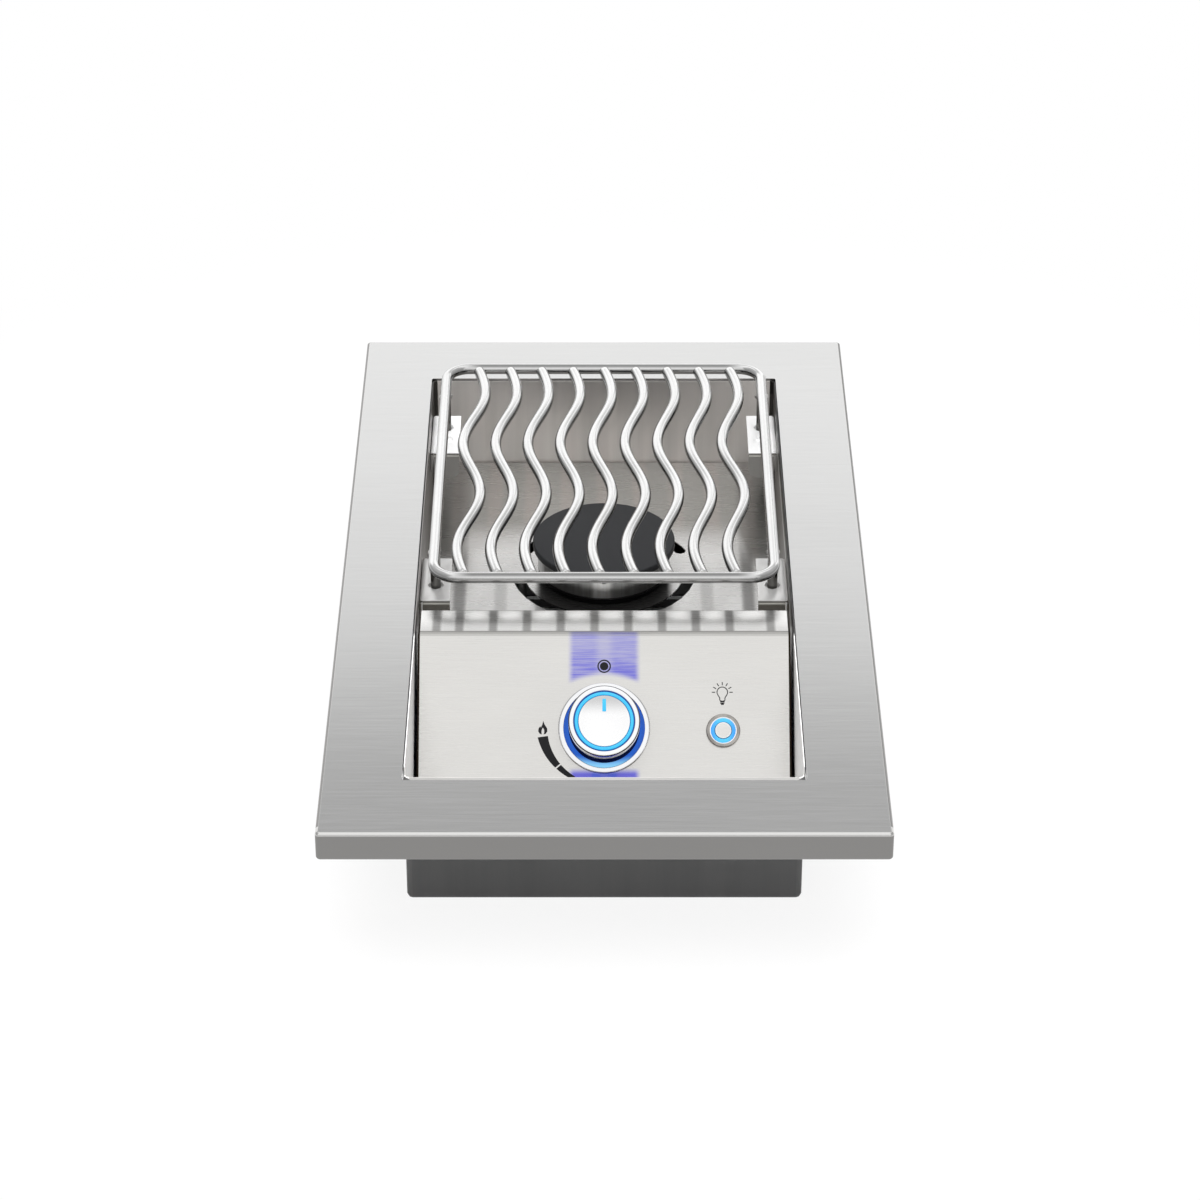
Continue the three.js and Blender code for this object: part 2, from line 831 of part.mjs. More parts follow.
// Sideways sway of a wavy bar at a distance in from the rear rail
function barSway(distance) {
  const endTurn = radians(waveEndAngle);
  const waveRun = grateDepth - 2 * waveEndRun;
  if (distance < waveEndRun) {
    return waveOffset + waveHeight * Math.cos(endTurn * (1 - distance / waveEndRun));
  }
  const turns = Math.PI * waveHalfCount;
  if (distance < waveEndRun + waveRun) {
    return waveOffset + waveHeight * Math.cos(turns * (distance - waveEndRun) / waveRun);
  }
  const past = (distance - waveEndRun - waveRun) / waveEndRun;
  return waveOffset + waveHeight * Math.cos(turns) * Math.cos(endTurn * past);
}

class WavyBar extends THREE.Curve {
  getPoint(t) {
    return new THREE.Vector3(barSway(t * grateDepth), grateRear - t * grateDepth, grateZ);
  }

  getUtoTmapping(u) {
    return u;
  }
}

// One wavy bar, its ends coped to sit against the rails
function makeBar(x, copingRing) {
  const bar = roundAlong(new WavyBar(), rodRadius, rodSides, barSteps);
  return geometryOf(solidOf(bar.translate(x, 0, 0)).subtract(copingRing));
}

// One leg, coped under the side rail, its foot standing in a dimple
function makeLeg(x, y, copingRing) {
  const footZ = shelfZ - dimpleDepth + fitGap;
  const leg = turned([
    [0, footZ],
    [rodRadius - legFootChamfer, footZ],
    [rodRadius, footZ + legFootChamfer],
    [rodRadius, grateZ],
    [0, grateZ],
  ], rodSides).translate(x, y, 0);
  return geometryOf(solidOf(leg).subtract(copingRing));
}

// Burner base: foot, shoulder for the ring, gas bowl and throat
function makeBurnerBase() {
  const footZ = panFloor + fitGap;
  const shoulderZ = footZ + baseShoulder;
  const ringInner = ringDiameter / 2 - ringWall;
  const spigot = ringInner - fitGap;
  const bowlZ = footZ + baseFloor;
  const throatOuter = throatDiameter / 2 + throatWall;
  const base = turnedRing([
    [throatDiameter / 2, panFloor - panSheet - throatDrop],
    [throatOuter, panFloor - panSheet - throatDrop],
    [throatOuter, footZ],
    [baseFootDiameter / 2, footZ],
    [baseFootDiameter / 2, footZ + baseFootHeight],
    [ringDiameter / 2, shoulderZ - baseWall / 2],
    [ringDiameter / 2, shoulderZ],
    [spigot, shoulderZ],
    [spigot, shoulderZ + baseSpigotHeight],
    [spigot - baseWall, shoulderZ + baseSpigotHeight],
    [spigot - baseWall, shoulderZ],
    [baseFootDiameter / 2 - baseWall, bowlZ],
    [throatDiameter / 2, bowlZ],
  ], ringSides).translate(0, burnerY, 0);
  const holes = [-1, 1].map((side) => roundBar(
    clearRadius(burnerScrewShank / 2, tinySides),
    footZ - cutOverrun,
    footZ + baseFloor / 2 + fitGap,
    tinySides,
  ).translate(side * burnerScrewSpacing / 2, burnerY, 0));
  return shaped(base, [], holes);
}

// Burner ring with a row of flame ports along its top edge
function makeBurnerRing() {
  const outer = ringDiameter / 2;
  const inner = outer - ringWall;
  const top = burnerRingZ + ringHeight;
  const ring = turnedRing([
    [inner, burnerRingZ],
    [outer, burnerRingZ],
    [outer, top],
    [inner, top],
  ], ringSides);
  const ports = [];
  for (let port = 0; port < portCount; port += 1) {
    const notch = boxBetween(
      inner - cutOverrun, -portWidth / 2, top - portDepth,
      outer + cutOverrun, portWidth / 2, top + cutOverrun,
    );
    ports.push(notch.rotateZ(full * (port + 1 / 2) / portCount));
  }
  return shaped(ring, [], ports).translate(0, burnerY, 0);
}

function makeBurnerCap() {
  const radius = capDiameter / 2;
  const spigot = ringDiameter / 2 - ringWall - fitGap * 2;
  const top = capZ + capThickness;
  return turned([
    [0, top],
    [radius - capEdge, top],
    [radius, top - capEdge],
    [radius, capZ + capEdge / 2],
    [radius - capEdge / 2, capZ],
    [spigot, capZ],
    [spigot, capZ - capSpigotDepth],
    [spigot - capSpigotWall, capZ - capSpigotDepth],
    [spigot - capSpigotWall, capZ + capEdge],
    [0, capZ + capEdge],
  ], ringSides).translate(0, burnerY, 0);
}

// Mixing tube: elbow up to the burner, straight run, and a mouth with two air windows
function makeVenturi() {
  const outer = tubeDiameter / 2;
  const topZ = panFloor - panSheet - throatDrop - fitGap;
  const corners = (front, top) => [
    new THREE.Vector3(0, front, tubeHeight),
    new THREE.Vector3(0, burnerY, tubeHeight),
    new THREE.Vector3(0, burnerY, top),
  ];
  const mouthEnd = mouthY + mouthLength;
  const tubeBend = topZ - throatDrop - tubeHeight;
  const tube = new BentRoute(corners(mouthEnd - tubeWall, topZ), tubeBend, elbowSteps);
  const bore = new BentRoute(corners(mouthY + tubeWall, topZ + cutOverrun), tubeBend, elbowSteps);
  const tubeSolid = roundAlong(tube, outer, smallSides, tube.steps);
  const boreSolid = roundAlong(bore, outer - tubeWall, smallSides, bore.steps);
  const alongY = (geometry) => geometry.rotateX(-quarter).translate(0, 0, tubeHeight);
  const mouth = alongY(roundBar(mouthDiameter / 2, mouthY, mouthEnd, smallSides));
  const mouthHollow = alongY(turned([
    [0, mouthY + tubeWall],
    [mouthDiameter / 2 - tubeWall, mouthY + tubeWall],
    [mouthDiameter / 2 - tubeWall, mouthEnd - tubeWall],
    [0, mouthEnd - tubeWall],
  ], smallSides));
  const jetHole = alongY(roundBar(mouthHole / 2, mouthY - cutOverrun, mouthY + cutOverrun, smallSides));
  return shaped(tubeSolid, [mouth], [boreSolid, mouthHollow, jetHole, makeWindows(mouthDiameter)]);
}

// The two air windows, left and right, through the mouth or through the shutter
function makeWindows(acrossDiameter) {
  const middle = mouthY + mouthLength / 2;
  return boxBetween(
    -acrossDiameter, middle - windowLength / 2, tubeHeight - windowWidth / 2,
    acrossDiameter, middle + windowLength / 2, tubeHeight + windowWidth / 2,
  );
}

function makeShutter() {
  const inner = clearRadius(mouthDiameter / 2, smallSides);
  const middle = mouthY + mouthLength / 2;
  const sleeve = turnedRing([
    [inner, middle - shutterLength / 2],
    [inner + shutterWall, middle - shutterLength / 2],
    [inner + shutterWall, middle + shutterLength / 2],
    [inner, middle + shutterLength / 2],
  ], smallSides).rotateX(-quarter).translate(0, 0, tubeHeight);
  return shaped(sleeve, [], [makeWindows(mouthDiameter)]);
}

// Knob axis pieces, in the knob group's own frame
const bezelCollarRadius = bezelWellFloor / 2
  + (bezelMouth - bezelWellFloor) / 2 * bezelWellDepth / (bezelWellDepth + bezelRise) + bezelWall;
const wellFloorZ = -bezelWellDepth;
const bezelBottomZ = wellFloorZ - bezelWall;
const bridgeTopZ = bezelBottomZ - fitGap;
const valveTopZ = bridgeTopZ - bridgeSheet - fitGap;
const outletDistance = (knobCentre.z - tubeHeight) / Math.cos(panelSlopeAngle);
const valveBottomZ = -outletDistance - valveTail;
const cupFloorZ = valveTopZ - valveNoseDepth;
const collarTopZ = valveTopZ - fitGap;
const collarBottomZ = collarTopZ - collarThickness;
const stemRadius = stemDiameter / 2;
const stemBottomZ = cupFloorZ - valveNoseDepth;
const cupRadius = valveDiameter / 2 - valveCupWall;

// Bar along world Y, placed in the knob group's frame by its distance past the knob axis
function barAlongWorldY(pairs, sides) {
  const bar = turned(pairs, sides);
  bar.rotateX(-quarter);
  bar.rotateX(-panelSlopeAngle);
  return bar.translate(0, 0, -outletDistance);
}

function makeBezel() {
  const outer = bezelDiameter / 2;
  const mouth = bezelMouth / 2;
  const bezel = turnedRing([
    [outer, fitGap],
    [outer, bezelRise - bezelRound],
    [outer - bezelRound / 3, bezelRise - bezelRound / 3],
    [outer - bezelRound, bezelRise],
    [mouth + bezelRound / 4, bezelRise],
    [mouth, bezelRise - bezelRound / 4],
    [bezelWellFloor / 2, wellFloorZ],
    [bezelStemHole / 2, wellFloorZ],
    [bezelStemHole / 2, bezelBottomZ],
    [bezelWellFloor / 2 + bezelWall / 2, bezelBottomZ],
    [bezelCollarRadius, -panelSheet],
    [bezelCollarRadius, fitGap],
  ], knobSides);
  return shaped(bezel, [], screwHoles(bezelBottomZ - cutOverrun, wellFloorZ + cutOverrun));
}

function screwHoles(bottom, top) {
  return [-1, 1].map((side) => roundBar(clearRadius(screwShank / 2, tinySides), bottom, top, tinySides)
    .translate(side * screwSpacing / 2, 0, 0));
}

function makeBezelScrew(side) {
  const headZ = wellFloorZ + fitGap;
  return turned([
    [0, valveTopZ - valveEarHeight / 2 + fitGap],
    [screwShank / 2, valveTopZ - valveEarHeight / 2 + fitGap],
    [screwShank / 2, headZ],
    [screwHead / 2, headZ],
    [screwHead / 2, headZ + screwHeadHeight / 2],
    [screwHead / 4, headZ + screwHeadHeight],
    [0, headZ + screwHeadHeight],
  ], tinySides).translate(side * screwSpacing / 2, 0, 0);
}

// Bridge bracket: two feet behind the panel, with the valve hung under its middle
function makeBridge() {
  const half = bridgeSheet / 2;
  const footZ = -panelSheet - fitGap - half;
  const middleZ = bridgeTopZ - half;
  const outline = bentSheet([
    [-bridgeSpan / 2 - bridgeFoot, footZ],
    [-bridgeSpan / 2, footZ],
    [-bridgeSpan / 2, middleZ],
    [bridgeSpan / 2, middleZ],
    [bridgeSpan / 2, footZ],
    [bridgeSpan / 2 + bridgeFoot, footZ],
  ], bridgeSheet, bridgeBend);
  const strap = extrudeAlongY(outline, -bridgeWidth / 2, bridgeWidth / 2);
  const below = bridgeTopZ - bridgeSheet - cutOverrun;
  const above = bridgeTopZ + cutOverrun;
  const stemHole = roundBar(stemRadius + fitGap * 3, below, above, smallSides);
  return shaped(strap, [], [stemHole, ...screwHoles(below, above)]);
}

function makeValve() {
  const body = roundBar(valveDiameter / 2, valveBottomZ, valveTopZ, smallSides);
  const ears = boxBetween(
    -valveEarWidth / 2, -valveEarDepth / 2, valveTopZ - valveEarHeight,
    valveEarWidth / 2, valveEarDepth / 2, valveTopZ,
  );
  const reach = valveDiameter / 2 + outletLength;
  const outlet = barAlongWorldY([
    [0, 0],
    [outletDiameter / 2, 0],
    [outletDiameter / 2, reach],
    [0, reach],
  ], smallSides);
  const outletBore = barAlongWorldY([
    [0, 0],
    [gasBore / 2, 0],
    [gasBore / 2, reach + cutOverrun],
    [0, reach + cutOverrun],
  ], tinySides);
  const inletReach = valveDiameter / 2 + inletLength;
  const alongX = (geometry) => geometry.rotateY(-quarter).translate(0, 0, -outletDistance);
  const inlet = alongX(roundBar(inletDiameter / 2, 0, inletReach, smallSides));
  const socket = alongX(roundBar(
    clearRadius(pipeDiameter / 2, smallSides),
    inletReach - pipeSocketDepth,
    inletReach + cutOverrun,
    smallSides,
  ));
  const cup = turned([
    [0, stemBottomZ - knobTravel - stemRunOut],
    [stemRadius + fitGap * 2, stemBottomZ - knobTravel - stemRunOut],
    [stemRadius + fitGap * 2, cupFloorZ],
    [cupRadius, cupFloorZ],
    [cupRadius, valveTopZ + cutOverrun],
    [0, valveTopZ + cutOverrun],
  ], smallSides);
  const holes = screwHoles(valveTopZ - valveEarHeight / 2, valveTopZ + cutOverrun);
  return shaped(body, [ears, outlet, inlet], [cup, outletBore, socket, ...holes]);
}

// D-shaped stem from the valve up into the knob's hub
function makeStem() {
  const top = knobReach - knobRecess - knobWall - fitGap;
  const shank = roundBar(stemRadius, stemBottomZ, top, smallSides);
  const flat = boxBetween(
    -stemRadius - cutOverrun, stemRadius - stemFlat, knobLift,
    stemRadius + cutOverrun, stemRadius + cutOverrun, top + cutOverrun,
  );
  return shaped(shank, [], [flat]);
}

function makeCollar() {
  const bore = clearRadius(stemRadius, smallSides);
  return turnedRing([
    [bore, collarBottomZ],
    [bore + collarWall, collarBottomZ],
    [bore + collarWall, collarTopZ],
    [bore, collarTopZ],
  ], smallSides);
}

// Coil spring between the valve's cup and the collar
class SpringPath extends THREE.Curve {
  getPoint(t) {
    const radius = stemRadius + fitGap * 3 + springWire;
    const bottom = cupFloorZ + fitGap + springWire / 2;
    const top = collarBottomZ - fitGap - springWire / 2;
    const angle = full * springTurns * t;
    const height = bottom + (top - bottom) * t;
    return new THREE.Vector3(radius * Math.cos(angle), radius * Math.sin(angle), height);
  }
}

function makeSpring() {
  const path = new SpringPath();
  return roundAlong(path, springWire / 2, springSides, springTurns * springStepsPerTurn);
}

function makeKnob() {
  const outer = knobDiameter / 2;
  const recess = lightOuter / 2 + fitGap;
  const recessZ = knobReach - knobRecess;
  const hubBore = clearRadius(stemRadius, smallSides);
  return turned([
    [0, recessZ],
    [recess, recessZ],
    [recess, knobReach],
    [outer - knobEdge, knobReach],
    [outer, knobReach - knobEdge],
    [outer, knobLift + knobEdge],
    [outer - knobEdge, knobLift],
    [outer - knobWall, knobLift],
    [outer - knobWall, recessZ - knobWall],
    [knobHub / 2, recessZ - knobWall],
    [knobHub / 2, knobLift + knobEdge],
    [hubBore, knobLift + knobEdge],
    [hubBore, recessZ - knobWall],
    [0, recessZ - knobWall],
  ], knobSides);
}

function makeKnobLight() {
  const bottom = knobReach - knobRecess + fitGap;
  return turnedRing([
    [lightInner / 2, bottom],
    [lightOuter / 2, bottom],
    [lightOuter / 2, knobReach - fitGap],
    [lightInner / 2, knobReach - fitGap],
  ], knobSides);
}

function makeKnobFace() {
  const bottom = knobReach - knobRecess + fitGap;
  const radius = lightInner / 2 - fitGap;
  return turned([
    [0, bottom],
    [radius, bottom],
    [radius, knobReach - fitGap],
    [radius * 2 / 3, knobReach - fitGap - faceDish * 2 / 3],
    [0, knobReach - fitGap - faceDish],
  ], knobSides);
}

function makeBezelLight() {
  const bottom = wellFloorZ + fitGap;
  return turnedRing([
    [bezelLightInner / 2, bottom],
    [bezelLightOuter / 2, bottom],
    [bezelLightOuter / 2, bottom + bezelLightThickness],
    [bezelLightInner / 2, bottom + bezelLightThickness],
  ], knobSides);
}

// Light switch pieces, in a group on the knob group's frame
const lightSeatZ = switchRim - bezelLightThickness / 2;
const buttonBottomZ = switchRim + switchButtonRise - switchButtonLength;

function makeSwitchHousing() {
  const bore = clearRadius(switchButtonDiameter / 2, smallSides);
  const floorZ = buttonBottomZ - switchTravel - fitGap * 2;
  return turned([
    [0, floorZ],
    [bore, floorZ],
    [bore, lightSeatZ],
    [switchLightOuter / 2 + fitGap, lightSeatZ],
    [switchLightOuter / 2 + fitGap, switchRim],
    [switchDiameter / 2 - switchRim / 3, switchRim],
    [switchDiameter / 2, switchRim * 2 / 3],
    [switchDiameter / 2, fitGap],
    [switchBarrel / 2, fitGap],
    [switchBarrel / 2, -switchBarrelDepth],
    [0, -switchBarrelDepth],
  ], switchSides);
}

function makeSwitchNut() {
  const top = -panelSheet - fitGap;
  return turnedRing([
    [clearRadius(switchBarrel / 2, smallSides), top - switchNutLength],
    [switchNutDiameter / 2, top - switchNutLength],
    [switchNutDiameter / 2, top],
    [clearRadius(switchBarrel / 2, smallSides), top],
  ], smallSides);
}

function makeSwitchButton() {
  const top = switchRim + switchButtonRise;
  return roundBar(switchButtonDiameter / 2, buttonBottomZ, top, smallSides);
}

function makeSwitchLight() {
  const inner = clearRadius(switchButtonDiameter / 2, smallSides);
  return turnedRing([
    [inner, lightSeatZ + fitGap],
    [switchLightOuter / 2, lightSeatZ + fitGap],
    [switchLightOuter / 2, switchRim],
    [inner, switchRim],
  ], switchSides);
}

// Injector between the valve's outlet and the mixing tube's mouth
const valveAxisY = knobCentre.y + outletDistance * Math.sin(panelSlopeAngle);
const outletEndY = valveAxisY + valveDiameter / 2 + outletLength;
const jetEndY = outletEndY + fitGap + injectorHexLength + injectorTipLength;
const mouthY = jetEndY - injectorLap;

function makeInjector() {
  const hexStart = outletEndY + fitGap;
  const hexEnd = hexStart + injectorHexLength;
  const hex = turned([
    [0, hexStart],
    [injectorHexDiameter / 2, hexStart],
    [injectorHexDiameter / 2, hexEnd],
    [0, hexEnd],
  ], hexSides);
  const tip = roundBar(injectorTipDiameter / 2, hexEnd - cutOverrun, jetEndY, smallSides);
  const jet = roundBar(jetDiameter / 2, hexStart - cutOverrun, jetEndY + cutOverrun, tinySides);
  return shaped(hex, [tip], [jet]).rotateX(-quarter).translate(0, 0, tubeHeight);
}

// Gas pipe from the rear fitting forward and across to the valve
const fittingInnerY = casingInnerRear - fitGap - fittingHexLength;

function makeGasPipe() {
  const pipeEndX = -valveDiameter / 2 - inletLength + pipeSocketDepth - fitGap;
  const route = (extra) => new BentRoute([
    new THREE.Vector3(inletOffset, fittingInnerY + pipeSocketDepth - fitGap + extra, tubeHeight),
    new THREE.Vector3(inletOffset, valveAxisY, tubeHeight),
    new THREE.Vector3(pipeEndX + extra, valveAxisY, tubeHeight),
  ], pipeBend, elbowSteps);
  const pipe = roundAlong(route(0), pipeDiameter / 2, tinySides, route(0).steps);
  const bore = roundAlong(route(cutOverrun), pipeDiameter / 2 - pipeWall, tinySides, route(0).steps);
  return shaped(pipe, [], [bore]);
}

function makeInletFitting() {
  const hex = roundBar(fittingHexDiameter / 2, fittingInnerY, fittingInnerY + fittingHexLength, hexSides);
  const threadEnd = casingInnerRear - fitGap + fittingThreadLength;
  const threadStart = fittingInnerY + fittingHexLength / 2;
  const thread = roundBar(fittingThreadDiameter / 2, threadStart, threadEnd, smallSides);
  const bore = roundBar(fittingBore / 2, fittingInnerY - cutOverrun, threadEnd + cutOverrun, smallSides);
  const socket = roundBar(
    clearRadius(pipeDiameter / 2, smallSides),
    fittingInnerY - cutOverrun,
    fittingInnerY + pipeSocketDepth,
    smallSides,
  );
  return shaped(hex, [thread], [bore, socket]).rotateX(-quarter).translate(inletOffset, 0, tubeHeight);
}

function makeInletNut() {
  const start = casingRear + fitGap;
  const nut = roundBar(nutDiameter / 2, start, start + nutLength, hexSides);
  const bore = roundBar(
    clearRadius(fittingThreadDiameter / 2, smallSides),
    start - cutOverrun,
    start + nutLength + cutOverrun,
    smallSides,
  );
  return shaped(nut, [], [bore]).rotateX(-quarter).translate(inletOffset, 0, tubeHeight);
}

// Ignition pieces
const electrodeY = burnerY + (airSlotInner + airSlotOuter) / 2;
const insulatorTopZ = casingHeight - insulatorTopDrop;
const electrodePlateTop = panFloor - panSheet - fitGap;

function makeInsulator() {
  const bore = clearRadius(electrodeWire / 2, tinySides);
  const bottom = insulatorTopZ - insulatorLength;
  const collarTop = electrodePlateTop - electrodePlateSheet - fitGap;
  return turnedRing([
    [bore, bottom],
    [insulatorDiameter / 2, bottom],
    [insulatorDiameter / 2, collarTop - insulatorDiameter / 2],
    [insulatorCollar / 2, collarTop - insulatorDiameter / 2],
    [insulatorCollar / 2, collarTop],
    [insulatorDiameter / 2, collarTop],
    [insulatorDiameter / 2, insulatorTopZ],
    [bore, insulatorTopZ],
  ], tinySides).translate(0, electrodeY, 0);
}

function makeElectrode() {
  const wireZ = insulatorTopZ + electrodeRise;
  const tipY = burnerY + ringDiameter / 2 + sparkGap;
  const route = new BentRoute([
    new THREE.Vector3(0, electrodeY, insulatorTopZ - insulatorLength - electrodeTail),
    new THREE.Vector3(0, electrodeY, wireZ),
    new THREE.Vector3(0, tipY, wireZ),
  ], electrodeBend, wireSteps);
  return roundAlong(route, electrodeWire / 2, rodSides, route.steps);
}

function makeElectrodePlate() {
  const plateEnd = electrodeY + electrodePlateWidth / 2;
  const centreY = plateEnd - electrodePlateLength / 2;
  const outline = roundedLoop(
    electrodePlateWidth / 2,
    electrodePlateLength / 2,
    electrodePlateCorner,
    0,
    centreY,
  );
  const plate = extrudeUp(
    new THREE.Shape(outline.map((p) => new THREE.Vector2(p.x, p.y))),
    electrodePlateTop - electrodePlateSheet,
    electrodePlateTop,
  );
  const hole = roundBar(
    clearRadius(insulatorDiameter / 2, tinySides),
    electrodePlateTop - electrodePlateSheet - cutOverrun,
    electrodePlateTop + cutOverrun,
    tinySides,
  ).translate(0, electrodeY, 0);
  return shaped(plate, [], [hole]);
}

function makeSparkModule() {
  const bottom = casingSheet + fitGap;
  const centreY = panelBendY - moduleSetback;
  const loop = (inset, z) => roundedLoop(
    moduleWidth / 2 - inset,
    moduleDepth / 2 - inset,
    moduleCorner,
    z,
    centreY,
  );
  return loft([
    loop(0, bottom),
    loop(0, bottom + moduleHeight - moduleCorner / 2),
    loop(moduleCorner / 2, bottom + moduleHeight),
  ], false).translate(moduleOffset, 0, 0);
}

function makeBurnerScrew(side) {
  const headTop = panFloor - panSheet - fitGap;
  return turned([
    [0, headTop - burnerScrewHeadHeight],
    [burnerScrewHead / 2, headTop - burnerScrewHeadHeight],
    [burnerScrewHead / 2, headTop],
    [burnerScrewShank / 2, headTop],
    [burnerScrewShank / 2, panFloor + fitGap + baseFloor / 2],
    [0, panFloor + fitGap + baseFloor / 2],
  ], tinySides).translate(side * burnerScrewSpacing / 2, burnerY, 0);
}

// Sheet metal
addPiece('trim_frame', 'brushedSteel', makeTrimFrame());
addPiece('casing_shell', 'darkSteel', makeCasing());
addPiece('burner_pan', 'polishedSteel', makePan());
addPiece('control_panel', 'brushedSteel', makePanel());
for (const [end, frontY] of [['front', frontBracketY], ['rear', rearBracketY]]) {
  for (const [hand, side] of [['left', -1], ['right', 1]]) {
    addPiece(`grate_bracket_${end}_${hand}`, 'polishedSteel', makeBracket(side, frontY));
  }
}

// Grate
const copingRing = solidOf(makeRing(rodRadius + fitGap));
addPiece('grate_ring', 'rodSteel', makeRing(rodRadius));
for (let bar = 1; bar <= barCount; bar += 1) {
  const x = barPitch * (bar - (barCount + 1) / 2);
  addPiece(`grate_bar_${bar}`, 'rodSteel', makeBar(x, copingRing));
}
for (const [end, y] of [
  ['front', frontBracketY + nearDimpleSetback],
  ['rear', rearBracketY + farDimpleSetback],
]) {
  for (const [hand, side] of [['left', -1], ['right', 1]]) {
    addPiece(`grate_leg_${end}_${hand}`, 'rodSteel', makeLeg(side * grateHalf, y, copingRing));
  }
}

// Burner
addPiece('burner_base', 'castAluminium', makeBurnerBase());
addPiece('burner_ring', 'polishedSteel', makeBurnerRing());
addPiece('burner_cap', 'castCap', makeBurnerCap());
addPiece('venturi_tube', 'zincSteel', makeVenturi());
addPiece('air_shutter', 'zincSteel', makeShutter());

// Gas train
addPiece('gas_valve', 'brass', makeValve(), knobAxis);
addPiece('valve_bridge', 'zincSteel', makeBridge(), knobAxis);
addPiece('valve_stem', 'zincSteel', makeStem(), knobAxis);
addPiece('stem_collar', 'zincSteel', makeCollar(), knobAxis);
addPiece('valve_spring', 'zincSteel', makeSpring(), knobAxis);
addPiece('injector', 'brass', makeInjector());
addPiece('gas_inlet_pipe', 'zincSteel', makeGasPipe());
addPiece('inlet_fitting', 'brass', makeInletFitting());
addPiece('inlet_nut', 'brass', makeInletNut());

// Knob and bezel
addPiece('knob_body', 'chrome', makeKnob(), knobAxis);
addPiece('knob_face', 'satinFace', makeKnobFace(), knobAxis);
addPiece('knob_light_ring', 'cyanLight', makeKnobLight(), knobAxis);
addPiece('knob_bezel', 'chrome', makeBezel(), knobAxis);
addPiece('bezel_light_ring', 'blueLight', makeBezelLight(), knobAxis);
for (const [hand, side] of [['left', -1], ['right', 1]]) {
  addPiece(`bezel_screw_${hand}`, 'zincSteel', makeBezelScrew(side), knobAxis);
  addPiece(`burner_screw_${hand}`, 'zincSteel', makeBurnerScrew(side));
}

// Switch
const switchAxis = new THREE.Group();
switchAxis.position.set(switchOffset, -switchDrop, 0);
knobAxis.add(switchAxis);
addPiece('switch_housing', 'chrome', makeSwitchHousing(), switchAxis);
addPiece('switch_nut', 'zincSteel', makeSwitchNut(), switchAxis);
addPiece('switch_button', 'satinFace', makeSwitchButton(), switchAxis);
addPiece('switch_light_ring', 'cyanLight', makeSwitchLight(), switchAxis);

// Ignition
addPiece('electrode_plate', 'zincSteel', makeElectrodePlate());
addPiece('electrode_insulator', 'ceramic', makeInsulator());
addPiece('igniter_electrode', 'zincSteel', makeElectrode());
addPiece('spark_module', 'blackPlastic', makeSparkModule());

export default sideBurner;
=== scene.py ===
import json
import math

import bmesh
import bpy
from mathutils import Matrix, Vector, noise

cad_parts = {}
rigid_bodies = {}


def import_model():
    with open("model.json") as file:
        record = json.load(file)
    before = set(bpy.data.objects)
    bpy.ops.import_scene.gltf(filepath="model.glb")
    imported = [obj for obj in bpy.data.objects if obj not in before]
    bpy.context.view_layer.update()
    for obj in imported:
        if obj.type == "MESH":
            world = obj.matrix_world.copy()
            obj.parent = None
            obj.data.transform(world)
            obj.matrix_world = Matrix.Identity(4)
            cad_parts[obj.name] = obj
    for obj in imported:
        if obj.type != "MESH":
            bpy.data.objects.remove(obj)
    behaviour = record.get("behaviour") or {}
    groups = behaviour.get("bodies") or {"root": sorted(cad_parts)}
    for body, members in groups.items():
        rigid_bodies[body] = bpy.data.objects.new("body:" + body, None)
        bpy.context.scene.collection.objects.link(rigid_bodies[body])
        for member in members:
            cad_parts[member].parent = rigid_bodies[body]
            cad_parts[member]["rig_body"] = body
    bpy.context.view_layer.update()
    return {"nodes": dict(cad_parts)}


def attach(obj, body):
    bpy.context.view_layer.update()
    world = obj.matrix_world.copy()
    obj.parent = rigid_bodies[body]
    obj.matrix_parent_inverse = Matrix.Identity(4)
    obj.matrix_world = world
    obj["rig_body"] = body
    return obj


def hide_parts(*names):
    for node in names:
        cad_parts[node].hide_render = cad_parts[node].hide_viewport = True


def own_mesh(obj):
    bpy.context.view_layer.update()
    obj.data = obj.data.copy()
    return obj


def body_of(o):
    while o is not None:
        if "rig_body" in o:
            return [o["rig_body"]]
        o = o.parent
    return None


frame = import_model()
nodes = frame["nodes"]
mm = 0.001
quarter = math.pi / 2
print("frame loaded:", len(nodes), "parts")


def setAll(thing, **settings):
    for key, value in settings.items():
        setattr(thing, key, value)
    return thing


def addObject(name, data):
    made = bpy.data.objects.new(name, data)
    bpy.context.scene.collection.objects.link(made)
    return made


# Camera, as it stood for the photograph

camera = {
    "place": (-0.00275, -2.2341, 1.4757), "tilt": 57.87, "lens": 115.2, "sensor": 36, "near": 0.05, "far": 60,
}


def addCamera():
    data = setAll(
        bpy.data.cameras.new("photoCamera"), lens=camera["lens"], sensor_width=camera["sensor"],
        clip_start=camera["near"], clip_end=camera["far"],
    )
    eye = addObject("photoCamera", data)
    eye.location = camera["place"]
    eye.rotation_euler = (math.radians(camera["tilt"]), 0, 0)
    bpy.context.scene.camera = eye


addCamera()
print("camera set")


# Small helpers for node trees

class Field:  # what a node gives out; sums and tests on it add nodes to its tree
    def __init__(self, socket):
        self.socket = socket
        self.tree = socket.id_data

    def __add__(self, other):
        return sums("ADD", self, other)

    def __sub__(self, other):
        return sums("SUBTRACT", self, other)

    def __rsub__(self, other):
        return sums("SUBTRACT", other, self)

    def __mul__(self, other):
        return sums("MULTIPLY", self, other)

    def __truediv__(self, other):
        return sums("DIVIDE", self, other)

    def __gt__(self, other):  # 1 where it holds, else 0
        return sums("GREATER_THAN", self, other)

    def __lt__(self, other):
        return sums("LESS_THAN", self, other)

    def __or__(self, other):  # the larger of the two
        return sums("MAXIMUM", self, other)

    def __abs__(self):
        return sums("ABSOLUTE", self)


